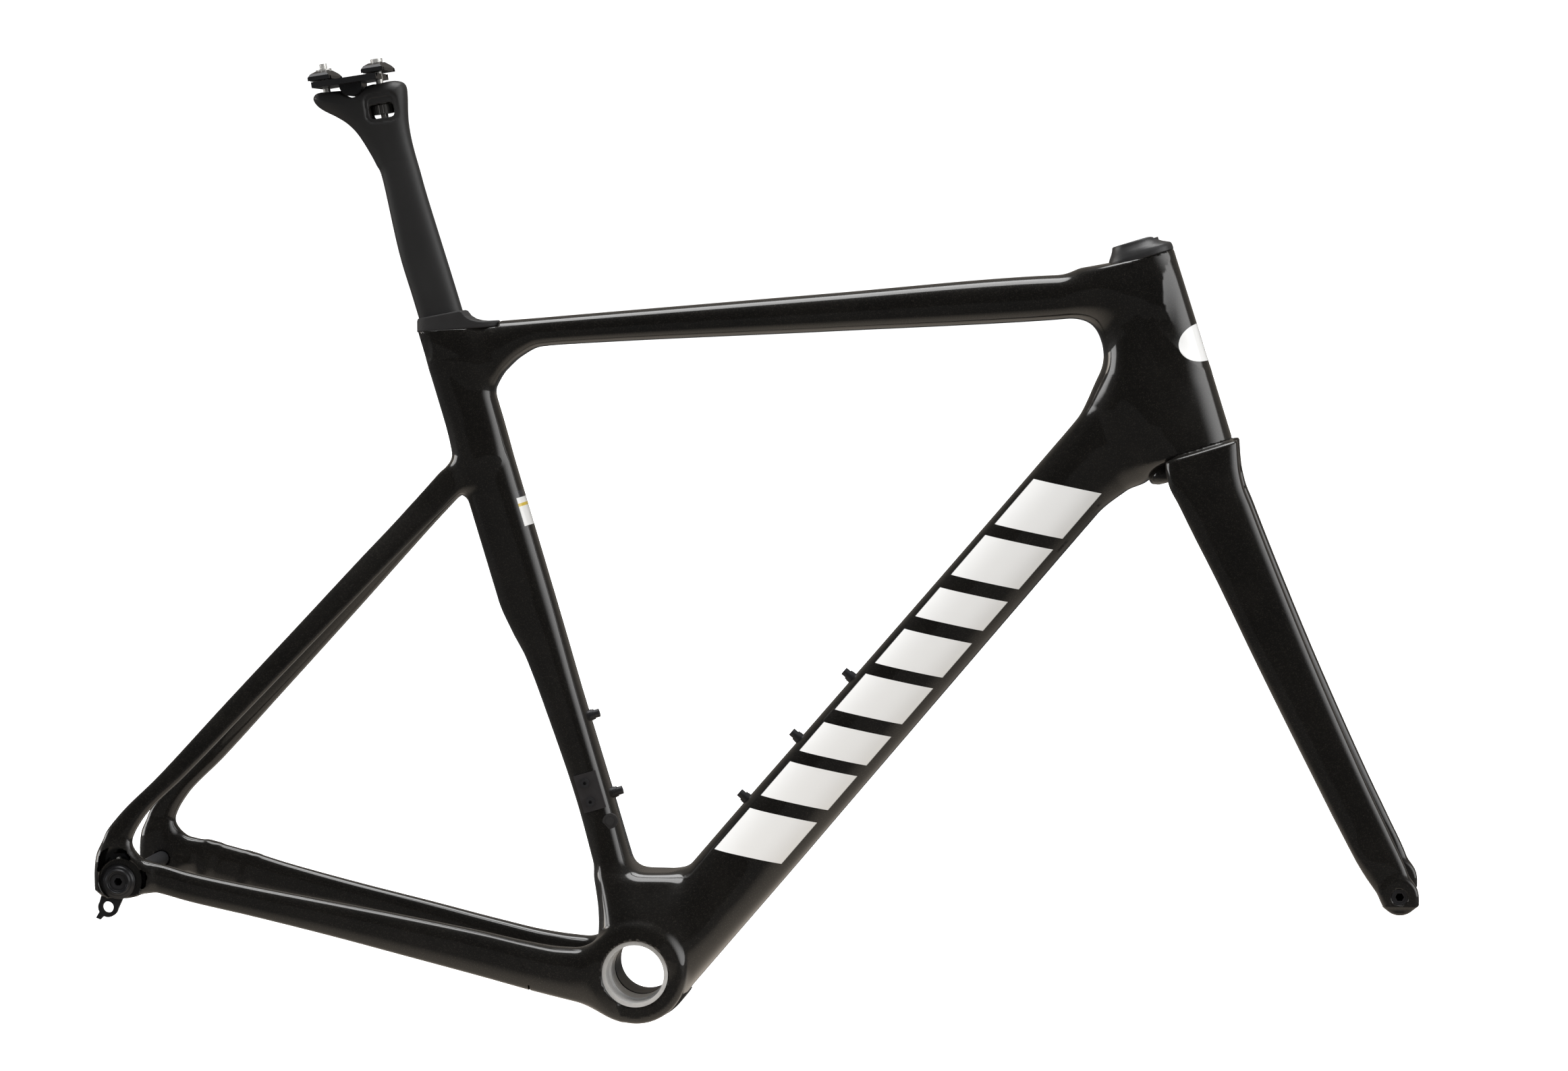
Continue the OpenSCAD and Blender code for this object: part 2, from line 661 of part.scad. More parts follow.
// Fork
module fork_steerer() {
    color("#1a1a1a") along_head() difference() {
        union() {
            translate([0, 0, 250]) cylinder(r = lower_steerer_radius, h = 32);
            translate([0, 0, 281]) cylinder(r1 = lower_steerer_radius, r2 = steerer_radius, h = 70);
            translate([0, 0, 350]) cylinder(r = steerer_radius, h = head_top + 12 - 350);
        }
        translate([0, 0, 249]) cylinder(r = 11.6, h = 200);
    }
}
module arch_clearance() {
    at_front_axle() cross_bar(352, -23.5, 23.5);
}
module fork_crown() {
    color("#141414") difference() {
        along_head() stack(crown_levels, 2.6, 32);
        arch_clearance();
        along_head() translate([0, 0, 250]) cylinder(r = lower_steerer_radius, h = 30);
    }
}
module fork_blade() {
    difference() {
        union() {
            difference() {
                stack(blade_levels, 2.6, 24);
                stack([[99, 566, 597, -56.2, 9.4], [120, 555.6, 586, -54, 10],
                    [160, 535, 567, -51, 11], [250, 489.5, 527, -44.5, 13],
                    [315, 457.6, 500, -39, 14.5], [350, 439.5, 486, -36, 15.5],
                    [392, 422, 470, -34, 16]], 2.6, 24);
            }
            at_front_axle() cross_bar(14.6, -front_hub_width/2 - 12.8, -front_hub_width/2);
        }
        along_head() translate([-100, -100, crown_base]) cube([200, 200, 200]);
        arch_clearance();
    }
}
module fork_blade_right() {
    color("#141414") difference() {
        fork_blade();
        at_front_axle() cross_bar(axle_radius + axle_gap, -80, -40);
        at_front_axle() cross_bar(11.3, -80, -front_hub_width/2 - 8.5);
    }
}
module fork_blade_left() {
    color("#141414") difference() {
        to_left() fork_blade();
        at_front_axle() cross_bar(9, 40, 80);
        front_brake_places() cylinder(r = 4.3, h = 30);
    }
}
module front_brake_places() {
    for (z = [128, 190.6]) translate([611.2 - z*0.4991, 53.6 - (z - 120)*0.0722, z])
        rotate([0, 63.5, 0]) translate([0, 0, -3]) children();
}
module front_brake_inserts() {
    color("#2c2c2c") front_brake_places() difference() {
        cylinder(r = 4.3, h = 14);
        translate([0, 0, -1]) cylinder(r = 2.5, h = 13);
    }
}
module front_axle_insert() {
    y = front_hub_width/2;
    color("#8a8f94") at_front_axle() difference() {
        cross_bar(9, y, y + 12.8);
        cross_bar(axle_radius + axle_gap, y - 1, y + 14);
    }
}
module steerer_expander() {
    color("#85898c") along_head() translate([0, 0, head_top - 28]) difference() {
        cylinder(r = 11.6, h = 36);
        translate([0, 0, -1]) cylinder(r = 3.1, h = 40);
    }
}
module expander_bolt() {
    color("#303030") along_head() translate([0, 0, head_top]) difference() {
        union() {
            translate([0, 0, -26]) cylinder(r = 3.1, h = 34.1);
            translate([0, 0, 8]) cylinder(r = 5, h = 3.6);
        }
        translate([0, 0, 9]) cylinder(r = 2.9, h = 4, $fn = 6);
    }
}

// Thru axles
module axle(low, high) {
    difference() {
        cross_bar(axle_radius, low, high);
        cross_bar(3.6, low + 9, high - 9);
        translate([0, low - 1, 0]) rotate([-90, 0, 0]) cylinder(r = 3.4, h = 12, $fn = 6);
    }
}
module front_thru_axle() {
    y = -front_hub_width/2;
    color("#303234") at_front_axle() difference() {
        union() {
            axle(y - 12, front_hub_width/2 + 12);
            difference() {
                cross_bar(11, y - 12.9, y - 8.5);
                cross_bar(5, y - 14, y - 8);
            }
        }
    }
}
module rear_thru_axle() {
    y = rear_hub_width/2;
    color("#303234") at_rear_axle() {
        axle(-y - 10, y + 6.5);
        difference() {
            cross_bar(9.2, y + 6, y + 10.5);
            cross_bar(5.5, y + 5, y + 11);
        }
    }
}

head_tube();
top_tube();
down_tube();
seat_tube();
bb_shell();
chain_stay_right();
chain_stay_left();
seat_stay_right();
seat_stay_left();
dropout_right();
dropout_left();
derailleur_hanger();
hanger_screws();
bb_sleeve_right();
bb_sleeve_left();
bb_cable_cover();
bb_cover_screw();
seat_collar_boot();
post_wedge();
post_wedge_bolt();
bottle_bosses();
bottle_bolts();
front_derailleur_plate();
front_derailleur_screws();
port_plug();
rear_brake_inserts();
headset_cover();
upper_bearing_outer();
upper_bearing_balls();
lower_bearing_outer();
lower_bearing_balls();
seatpost();
seatpost_barrel_nut();
rail_cradle();
rail_clamp_rear();
rail_clamp_front();
clamp_stud_rear();
clamp_nut_rear();
clamp_bolt_front();
tilt_adjuster_wheel();
fork_steerer();
fork_crown();
fork_blade_right();
fork_blade_left();
crown_race();
lower_bearing_inner();
upper_bearing_inner();
compression_ring();
steerer_expander();
expander_bolt();
front_axle_insert();
front_brake_inserts();
front_thru_axle();
rear_thru_axle();
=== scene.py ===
# %% [markdown]
# # A carbon road frameset, finished around its CAD frame
# The part is a bare road bicycle frame with its fork, seatpost, saddle clamp and axles.
# The CAD pack gives every piece its true place and its joint. This script gives the pieces their looks.
# Each cell makes one thing, and some print what they made, so the file can be read and run from top to
# bottom.

# %% Load the imported frame
import json
import math

import bpy
import numpy as np
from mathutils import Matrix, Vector


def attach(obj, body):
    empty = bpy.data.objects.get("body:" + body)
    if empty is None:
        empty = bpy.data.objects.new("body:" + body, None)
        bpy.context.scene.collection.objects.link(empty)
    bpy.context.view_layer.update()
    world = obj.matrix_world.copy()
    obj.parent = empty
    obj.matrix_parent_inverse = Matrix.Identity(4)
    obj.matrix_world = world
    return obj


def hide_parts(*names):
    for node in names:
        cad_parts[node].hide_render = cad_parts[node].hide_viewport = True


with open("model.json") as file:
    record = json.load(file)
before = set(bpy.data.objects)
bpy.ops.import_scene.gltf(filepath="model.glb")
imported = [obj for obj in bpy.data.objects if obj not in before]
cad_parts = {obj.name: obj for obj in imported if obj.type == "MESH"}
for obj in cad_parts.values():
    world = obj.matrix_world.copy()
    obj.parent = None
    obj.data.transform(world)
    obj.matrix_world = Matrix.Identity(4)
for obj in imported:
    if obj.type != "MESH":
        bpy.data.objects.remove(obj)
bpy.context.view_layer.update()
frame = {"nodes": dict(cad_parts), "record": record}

NODES = frame["nodes"]

# %% [markdown]
# The camera comes first. It stands a little to the right of square-on and a little above the frame,
# far away with a long lens, which is how frames are shown in a catalogue: the wheel axles stay
# almost in line and the tubes keep their true proportions.

# %% Camera
AZIMUTH, ELEVATION = math.radians(6.3), math.radians(3.6)
camera_data = bpy.data.cameras.new("catalogue_camera")
camera_data.sensor_width = 36.0
camera_data.lens = 18.0 / math.tan(math.radians(17.305) / 2)
camera_data.clip_end = 100.0
camera = bpy.data.objects.new("catalogue_camera", camera_data)
bpy.context.scene.collection.objects.link(camera)
camera.location = (0.55875, -4.03341, 0.59991)
camera.rotation_euler = (math.pi / 2 - ELEVATION, 0.0, AZIMUTH)
bpy.context.scene.camera = camera
print("camera lens in mm:", round(camera_data.lens, 1))

# %% [markdown]
# Shader maths is easier to read as sums than as a web of nodes. The class below wraps one output
# socket of a node tree, so that `1 - mask * 0.5` adds the Math nodes by itself. Colours are mixed
# with Mix nodes, because a Math node would turn them grey.

# %% Shader maths as expressions
class Wire:
    """One value in a node tree. Operators on it add Math nodes; the result is another Wire."""

    def __init__(self, tree, socket):
        self.tree, self.socket = tree, socket

    def node(self, kind, settings=None, inputs=None, output=0):
        """Any other node: settings first, then the values or links of its sockets."""
        return add_node(self.tree, kind, settings, inputs, output)

    def math(self, operation, *values):
        return self.node("ShaderNodeMath", {"operation": operation}, dict(enumerate((self, *values))))

    def __add__(self, other):
        return self.math("ADD", other)

    def __sub__(self, other):
        return self.math("SUBTRACT", other)

    def __mul__(self, other):
        return self.math("MULTIPLY", other)

    def __truediv__(self, other):
        return self.math("DIVIDE", other)

    def __rsub__(self, other):
        return self.node("ShaderNodeMath", {"operation": "SUBTRACT"}, {0: other, 1: self})

    def __abs__(self):
        return self.math("ABSOLUTE")

    def __pow__(self, other):
        return self.math("POWER", other)

    def step(self, low, high):
        """0 below low, 1 above high and a smooth S between them. With low above high it falls instead."""
        settings = {"interpolation_type": "SMOOTHSTEP"}
        return self.node("ShaderNodeMapRange", settings, {0: self, 1: low, 2: high, 3: 0.0, 4: 1.0})

    def least(self, other):
        return self.math("MINIMUM", other)

    def most(self, other):
        return self.math("MAXIMUM", other)


def add_node(tree, kind, settings=None, inputs=None, output=0):
    """Adds a node, applies its settings, then its sockets, and returns one output as a Wire."""
    node = tree.nodes.new(kind)
    for name, value in (settings or {}).items():
        if name == "stops":
            ramp = node.color_ramp
            while len(ramp.elements) > 1:
                ramp.elements.remove(ramp.elements[-1])
            for i, (place, colour) in enumerate(value):
                element = ramp.elements[0] if i == 0 else ramp.elements.new(place)
                element.position, element.color = place, colour
        elif name == "ramp_interpolation":
            node.color_ramp.interpolation = value
        else:
            setattr(node, name, value)
    for name, value in (inputs or {}).items():
        if isinstance(value, Wire):
            tree.links.new(value.socket, node.inputs[name])
        else:
            node.inputs[name].default_value = value
    return Wire(tree, node.outputs[output])


def mix_colour(mask, first, second):
    """first where mask is 0, second where it is 1."""
    inputs = {0: mask, 6: first, 7: second}
    return mask.node("ShaderNodeMix", {"data_type": "RGBA"}, inputs, 2)


def grey(value):
    return (value, value, value, 1.0)


class Finish:
    """A material with its Principled shader, the piece's own coordinates in millimetres, and noise."""

    def __init__(self, name, **constants):
        self.material = bpy.data.materials.new(name)
        self.material.use_nodes = True
        self.tree = self.material.node_tree
        self.shader = self.tree.nodes["Principled BSDF"]
        for socket, value in constants.items():
            self.shader.inputs[socket.replace("_", " ")].default_value = value
        place = add_node(self.tree, "ShaderNodeTexCoord", output=3)
        scaled = {"operation": "SCALE"}
        self.place = add_node(self.tree, "ShaderNodeVectorMath", scaled, {0: place, 3: 1000.0})
        self.x, self.y, self.z = (
            add_node(self.tree, "ShaderNodeSeparateXYZ", None, {0: self.place}, i) for i in range(3))

    def noise(self, size_mm, detail=3.0):
        """Smooth noise from 0 to 1 with features about size_mm wide."""
        inputs = {"Vector": self.place, "Scale": 1.0 / size_mm, "Detail": detail}
        return add_node(self.tree, "ShaderNodeTexNoise", None, inputs)

    def cells(self, size_mm):
        """A random colour for each small cell, as the flakes in a metallic paint."""
        inputs = {"Vector": self.place, "Scale": 1.0 / size_mm}
        return add_node(self.tree, "ShaderNodeTexVoronoi", None, inputs, 1)

    def normal_part(self, axis):
        """One component of the surface normal, to find the side that a point is on."""
        normal = add_node(self.tree, "ShaderNodeNewGeometry", output=1)
        return add_node(self.tree, "ShaderNodeSeparateXYZ", None, {0: normal}, axis)

    def bump(self, height, distance_mm, strength=1.0):
        """Height 0 to 1 becomes a bump of distance_mm on the shader's Normal."""
        inputs = {"Strength": strength, "Distance": distance_mm / 1000.0, "Height": height}
        self.feed("Normal", add_node(self.tree, "ShaderNodeBump", None, inputs))

    def feed(self, socket, wire):
        self.tree.links.new(wire.socket, self.shader.inputs[socket])

# %% [markdown]
# ## Shapes from distance fields
# A carbon frame is one moulded skin: its tubes flow into each other with no seam. Loft one tube at a
# time and the joins show. A distance field doesn't have that problem. Each tube is a rule that says how
# far a point is from its skin, below zero inside. The smooth least of two rules melts them together
# with a fillet of the width we ask for, and the skin is where the result is zero.

# %% Sections, tubes and blends
def through(levels, count=300):
    """A smooth curve through each column of the level table.
    The slope at a level is the harmonic mean of the slopes beside it, so the curve never overshoots."""
    levels = np.array(levels, float)
    place, values = levels[:, 0], levels[:, 1:]
    gap = np.diff(place)[:, None]
    slope = np.diff(values, axis=0) / gap
    same = slope[:-1] * slope[1:] > 0
    total = np.where(same, slope[:-1] + slope[1:], 1.0)
    inner = np.where(same, 2 * slope[:-1] * slope[1:] / total, 0.0)
    tangent = np.vstack([slope[:1], inner, slope[-1:]])
    s = np.linspace(place[0], place[-1], count)
    i = np.clip(np.searchsorted(place, s, "right") - 1, 0, len(place) - 2)
    t = ((s - place[i]) / gap[i, 0])[:, None]
    near = (1 + 2 * t) * (1 - t) ** 2 * values[i] + t ** 2 * (3 - 2 * t) * values[i + 1]
    lean = t * (1 - t) ** 2 * tangent[i] - t ** 2 * (1 - t) * tangent[i + 1]
    return s, near + gap[i] * lean


def unit(angle):
    """Direction in the XZ plane: 0 is +Z, and a positive angle leans forward."""
    return np.array([math.sin(math.radians(angle)), 0.0, math.cos(math.radians(angle))])


class Frame:
    """A straight line with its own axes: along it, across it in the XZ plane, and sideways along Y."""

    def __init__(self, lean, start=(0, 0, 0), across=None):
        self.along = unit(lean)
        self.across = unit(lean + 90) if across is None else np.array(across, float)
        self.start = np.array(start, float)

    def local(self, p):
        d = p - self.start
        return d @ self.along, d @ self.across, d[..., 1]

    def point(self, s, u, v=0.0):
        return self.start + s * self.along + u * self.across + np.array([0, v, 0])


UPRIGHT = Frame(0)
LENGTHWISE = Frame(90, across=(0, 0, 1))


class Tube:
    """A tube on a Frame. A level is [place, back, front, side offset, width] in millimetres.
    With a and b the half depth and half width, the section is |u/a|^n + |v/b|^n = 1: n = 2 is an
    ellipse and a larger n is boxier. Distance is (r - 1) / |gradient of r|, r being the n-th root.
    slope shortens it where the tube runs askew to its line."""

    def __init__(self, line, levels, power=3, blend=12.0, slope=1.0, rim=0.0):
        self.line, self.power, self.blend, self.slope, self.rim = line, power, blend, slope, rim
        self.levels = levels
        self.s, self.values = through(levels)

    def box(self):
        corners = [self.line.point(s, u, y + side * w / 2)
                   for s, a, b, y, w in self.levels for u in (a, b) for side in (-1, 1)]
        return np.min(corners, axis=0), np.max(corners, axis=0)

    def distance(self, p):
        s, u, v = self.line.local(p)
        back, front, y, width = (np.interp(s, self.s, column) for column in self.values.T)
        a, b, n = (front - back) / 2, width / 2, self.power
        du, dv = np.abs(u - (front + back) / 2) / a, np.abs(v - y) / b
        r = np.maximum(du ** n + dv ** n, 1e-9) ** (1 / n)
        steep = np.sqrt((du ** (n - 1) / a) ** 2 + (dv ** (n - 1) / b) ** 2) * r ** (1 - n)
        d = np.maximum((r - 1) / np.maximum(steep, 1e-6) * self.slope, -60.0)
        half = (self.s[-1] - self.s[0]) / 2
        return rounded_both(d, np.abs(s - self.s[0] - half) - half, self.rim)


class Rod:
    """A round bar or hole: a cylinder between two points, |p across the axis| - radius."""

    def __init__(self, start, end, radius, blend=0.0, rim=0.0):
        self.a, self.b = np.array(start, float), np.array(end, float)
        self.radius, self.blend, self.rim = radius, blend, rim

    def box(self):
        return np.minimum(self.a, self.b) - self.radius, np.maximum(self.a, self.b) + self.radius

    def distance(self, p):
        length = np.linalg.norm(self.b - self.a)
        axis = (self.b - self.a) / length
        d = p - self.a
        s = d @ axis
        across = np.sqrt(np.maximum((d * d).sum(-1) - s * s, 0.0)) - self.radius
        return rounded_both(across, np.abs(s - length / 2) - length / 2, self.rim)


class Plate:
    """An outline in the XZ plane with a thickness along Y, its edges rounded by rim."""

    def __init__(self, outline, y_low, y_high, blend=6.0, rim=1.5):
        self.outline = np.array(outline, float)
        self.y_low, self.y_high, self.blend, self.rim = y_low, y_high, blend, rim

    def box(self):
        low, high = self.outline.min(0), self.outline.max(0)
        return np.array([low[0], self.y_low, low[1]]), np.array([high[0], self.y_high, high[1]])

    def distance(self, p):
        flat = outline_distance(self.outline, p[..., 0], p[..., 2])
        half = (self.y_high - self.y_low) / 2
        return rounded_both(flat, np.abs(p[..., 1] - self.y_low - half) - half, self.rim)


class Both:
    """Inside both solids, with the edge between them rounded by rim."""

    def __init__(self, first, second, rim, blend=0.0):
        self.first, self.second, self.rim, self.blend = first, second, rim, blend

    def box(self):
        (a, b), (c, d) = self.first.box(), self.second.box()
        return np.maximum(a, c), np.minimum(b, d)

    def distance(self, p):
        return rounded_both(self.first.distance(p), self.second.distance(p), self.rim)


class Below:
    """Everything on the low side of a plane across a Frame: place along it - height."""

    def __init__(self, line, height):
        self.line, self.height = line, height

    def box(self):
        return np.full(3, -2000.0), np.full(3, 2000.0)

    def distance(self, p):
        return self.line.local(p)[0] - self.height


class Pillow:
    """A side outline whose thickness rounds off towards its edge. With e = 1 at the outline, 0 at depth
    round_off and deeper, the skin is where e^n + |y/w|^n = 1, w being the half thickness at that height."""

    def __init__(self, outline, widths, round_off, power=2.6, blend=0.0):
        self.outline = smooth_outline(outline)
        self.widths, self.round_off, self.power, self.blend = np.array(widths, float), round_off, power, blend
        low, high = self.outline.min(0) - 12, self.outline.max(0) + 12
        self.axes = [np.arange(a, b + 0.7, 0.7) for a, b in zip(low, high)]
        x, z = np.meshgrid(*self.axes, indexing="ij")
        self.flat = outline_distance(self.outline, x, z)

    def box(self):
        low, high, w = self.outline.min(0), self.outline.max(0), self.widths[:, 1].max()
        return np.array([low[0], -w, low[1]]), np.array([high[0], w, high[1]])

    def depth(self, x, z):
        """Outline distance between the grid points, mixed from the four around a point."""
        places = [np.clip((v - axis[0]) / 0.7, 0, len(axis) - 1.001) for v, axis in zip((x, z), self.axes)]
        (i, fi), (j, fj) = ((np.floor(v).astype(int), v - np.floor(v)) for v in places)
        f = self.flat
        return ((f[i, j] * (1 - fi) + f[i + 1, j] * fi) * (1 - fj)
                + (f[i, j + 1] * (1 - fi) + f[i + 1, j + 1] * fi) * fj)

    def distance(self, p):
        n, r = self.power, self.round_off
        w = np.interp(p[..., 2], *self.widths.T)
        e = np.maximum(1 + self.depth(p[..., 0], p[..., 2]) / r, 0.0)
        v = np.abs(p[..., 1]) / w
        q = np.maximum(e ** n + v ** n, 1e-9) ** (1 / n)
        steep = np.sqrt((e ** (n - 1) / r) ** 2 + (v ** (n - 1) / w) ** 2) * q ** (1 - n)
        return (q - 1) / np.maximum(steep, 1e-6)


def smooth_outline(outline, per_side=5):
    """A closed curve through the corners: between two of them it is a cubic whose slope at each is half
    the step from the corner before to the corner after."""
    p0 = np.array(outline, float)
    before, after, beyond = np.roll(p0, 1, 0), np.roll(p0, -1, 0), np.roll(p0, -2, 0)
    t = (np.arange(per_side) / per_side)[None, :, None]
    a, b, c, d = (v[:, None] for v in (before, p0, after, beyond))
    curve = 0.5 * (2 * b + (c - a) * t + (2 * a - 5 * b + 4 * c - d) * t ** 2
                   + (3 * b - a - 3 * c + d) * t ** 3)
    return curve.reshape(-1, 2)


def rounded_both(a, b, rim):
    """Inside both a and b. The edge between them is a quarter circle of radius rim."""
    if rim <= 0:
        return np.maximum(a, b)
    a, b = a + rim, b + rim
    corner = np.sqrt(np.maximum(a, 0) ** 2 + np.maximum(b, 0) ** 2)
    return np.minimum(np.maximum(a, b), 0) + corner - rim


def outline_distance(outline, x, z):
    """Distance to the nearest edge of a closed outline, below zero inside it."""
    nearest = np.full(x.shape, 1e12)
    inside = np.zeros(x.shape, bool)
    for (x0, z0), (x1, z1) in zip(outline, np.roll(outline, -1, axis=0)):
        ex, ez, dx, dz = x1 - x0, z1 - z0, x - x0, z - z0
        t = np.clip((dx * ex + dz * ez) / (ex * ex + ez * ez), 0, 1)
        nearest = np.minimum(nearest, (dx - t * ex) ** 2 + (dz - t * ez) ** 2)
        if z0 != z1:
            inside ^= ((z0 > z) != (z1 > z)) & (dx < dz * ex / ez)
    return np.sqrt(nearest) * np.where(inside, -1.0, 1.0)


def melt(a, b, width):
    """The smooth least: min(a, b) less a quarter of h squared times width, where h falls from 1 to 0
    as the two distances grow apart by width."""
    if width <= 0:
        return np.minimum(a, b)
    h = np.maximum(width - np.abs(a - b), 0.0) / width
    return np.minimum(a, b) - h * h * width / 4


def carve(a, b, width):
    """a with b taken away, and the edge rounded by width."""
    return -melt(-a, b, width)


# %% From a field to a mesh
def field_at(steps, p):
    """The whole field at points p: every solid melted in turn, every cut carved."""
    d = np.full(p.shape[:-1], 200.0)
    for kind, solid in steps:
        d = (melt if kind == "add" else carve)(d, solid.distance(p), solid.blend)
    return d


def field_grid(steps, low, high, pitch):
    """The field on a regular grid. Each solid is worked out only inside its own box."""
    low, high = np.array(low, float), np.array(high, float)
    axes = [np.arange(a, b + pitch, pitch) for a, b in zip(low, high)]
    d = np.full([len(a) for a in axes], 200.0, np.float32)
    for kind, solid in steps:
        a, b = solid.box()
        reach = solid.blend + 4 * pitch
        window = tuple(slice(*np.searchsorted(axis, [a[i] - reach, b[i] + reach]))
                       for i, axis in enumerate(axes))
        if min(w.stop - w.start for w in window) < 1:
            continue
        p = np.stack(np.meshgrid(*(axis[w] for axis, w in zip(axes, window)), indexing="ij"), -1)
        d[window] = (melt if kind == "add" else carve)(d[window], solid.distance(p), solid.blend)
    return d, low


CORNERS = np.array([[i, j, k] for i in (0, 1) for j in (0, 1) for k in (0, 1)])
CELL_EDGES = [(a, b) for a in range(8) for b in range(a + 1, 8)
              if np.abs(CORNERS[a] - CORNERS[b]).sum() == 1]


def skin_of(d, low, pitch):
    """Surface nets. A grid cell that the skin crosses gets one vertex, at the mean of the crossings on
    its twelve edges, and a grid edge that the skin crosses gets one face, from its four cells."""
    inside = d < 0
    shape = np.array(d.shape) - 1
    corner = [d[tuple(slice(o, o + n) for o, n in zip(c, shape))] for c in CORNERS]
    filled = sum((c < 0).astype(np.int8) for c in corner)
    cells = np.argwhere((filled > 0) & (filled < 8))
    number = np.full(shape, -1)
    number[tuple(cells.T)] = np.arange(len(cells))
    value = np.stack([c[tuple(cells.T)] for c in corner])
    total, count = np.zeros((len(cells), 3)), np.zeros(len(cells))
    for a, b in CELL_EDGES:
        crossed = (value[a] < 0) != (value[b] < 0)
        t = np.where(crossed, value[a] / np.where(crossed, value[a] - value[b], 1), 0)
        total += crossed[:, None] * (CORNERS[a] + t[:, None] * (CORNERS[b] - CORNERS[a]))
        count += crossed
    points = low + pitch * (cells + total / count[:, None])
    faces = []
    for axis in range(3):
        u, v = (axis + 1) % 3, (axis + 2) % 3
        here = np.moveaxis(inside, (axis, u, v), (0, 1, 2))
        edge = np.argwhere(here[:-1, 1:-1, 1:-1] != here[1:, 1:-1, 1:-1]) + [0, 1, 1]
        out = here[tuple(edge.T)]
        index = np.moveaxis(number, (axis, u, v), (0, 1, 2))
        i, j, k = edge.T
        ring = np.stack([index[i, j - 1, k - 1], index[i, j, k - 1], index[i, j, k], index[i, j - 1, k]], 1)
        faces.append(np.where(out[:, None], ring, ring[:, ::-1]))
    return points, np.vstack(faces)


def slope_of(steps, p, reach=0.2):
    """Gradient of the field by central differences."""
    shift = np.eye(3) * reach
    return np.stack([field_at(steps, p + e) - field_at(steps, p - e) for e in shift], -1) / (2 * reach)


def settle(steps, p, pitch, rounds=3):
    """Newton's rule: each vertex moves along the gradient by distance over slope, onto the skin."""
    for _ in range(rounds):
        g = slope_of(steps, p)
        size = np.maximum((g * g).sum(-1), 1e-4)
        move = -(field_at(steps, p) / size)[:, None] * g
        far = np.linalg.norm(move, axis=-1, keepdims=True)
        p = p + move * np.minimum(1, 0.5 * pitch / np.maximum(far, 1e-9))
    return p


def mesh_piece(name, points_mm, faces, normals=None, smooth=True):
    """A mesh object at the origin. Faces all have the same number of corners; points become metres."""
    faces = np.asarray(faces)
    mesh = bpy.data.meshes.new(name)
    mesh.vertices.add(len(points_mm))
    mesh.vertices.foreach_set("co", (np.asarray(points_mm) / 1000.0).astype(np.float32).ravel())
    mesh.loops.add(faces.size)
    mesh.loops.foreach_set("vertex_index", faces.astype(np.int32).ravel())
    mesh.polygons.add(len(faces))
    mesh.polygons.foreach_set("loop_start", np.arange(0, faces.size, faces.shape[1], dtype=np.int32))
    mesh.polygons.foreach_set("use_smooth", np.full(len(faces), smooth))
    mesh.update(calc_edges=True)
    mesh.validate()
    if normals is not None:
        mesh.normals_split_custom_set_from_vertices(normals.astype(np.float32))
    piece = bpy.data.objects.new(name, mesh)
    bpy.context.scene.collection.objects.link(piece)
    return piece


def grid_pitch(full):
    return full


def moulded(name, steps, low, high, pitch, keep=None):
    """The skin of a field as a piece. keep(points) may drop the part past a joint line."""
    d, corner = field_grid(steps, low, high, pitch)
    points, faces = skin_of(d, corner, pitch)
    if keep is not None:
        kept = keep(points)
        faces = faces[kept[faces].all(1)]
        used = np.unique(faces)
        renumber = np.full(len(points), -1)
        renumber[used] = np.arange(len(used))
        points, faces = points[used], renumber[faces]
    points = settle(steps, points, pitch)
    g = slope_of(steps, points, 0.4)
    normals = g / np.maximum(np.linalg.norm(g, axis=-1, keepdims=True), 1e-9)
    piece = mesh_piece(name, points, faces, normals)
    print(name, "vertices", len(points), "faces", len(faces))
    return piece

# %% [markdown]
# ## The frame
# The tables are the same stations as the CAD tubes, with the corners left to the blends. The seat tube
# swells into a blade towards the top and is cut back behind the wheel. The down tube is the deepest
# section and runs into the bottom bracket, where everything meets.

# %% Frame tubes
SEAT_LINE = Frame(-16.8)
HEAD_LINE = Frame(-17, start=544.5 * unit(73))
DOWN_LINE = Frame(40.5)

seat_tube = Tube(SEAT_LINE, [
    [20, -14, 17, 0, 78], [45, -14, 17, 0, 70], [68, -13, 17.2, 0, 56], [95, -12, 17.5, 0, 46],
    [140, -11, 18, 0, 39], [220, -14, 18, 0, 35.5], [262, -17, 18.5, 0, 34], [285, -21.5, 18.8, 0, 33.5],
    [312, -25, 19, 0, 33], [440, -25, 19.5, 0, 32.5], [545, -24.5, 20, 0, 32]], power=3, blend=10)
top_tube = Tube(LENGTHWISE, [
    [-158, 484, 500, 0, 18], [-148, 476, 506, 0, 25], [-134, 466, 511, 0, 30.5], [-117, 464, 513, 0, 31],
    [-108, 474, 513.8, 0, 31.5], [-96, 485, 514.8, 0, 32], [-80, 493, 516.1, 0, 32],
    [-50, 495.5, 518.7, 0, 33], [150, 505.6, 535.7, 0, 36], [310, 514, 549.4, 0, 39],
    [345, 517, 551, 0, 40], [369, 522, 552, 0, 40], [386, 524, 551, 0, 34], [400, 525, 549, 0, 22]],
    power=3, blend=12)
head_tube = Tube(HEAD_LINE, [
    [268.2, -50, 24.4, 0, 57], [290, -51, 24.3, 0, 53], [320, -51.5, 24.2, 0, 50],
    [370, -51.5, 23.8, 0, 48], [424, -50, 23.2, 0, 46]], power=2.6, blend=22, rim=1.6)
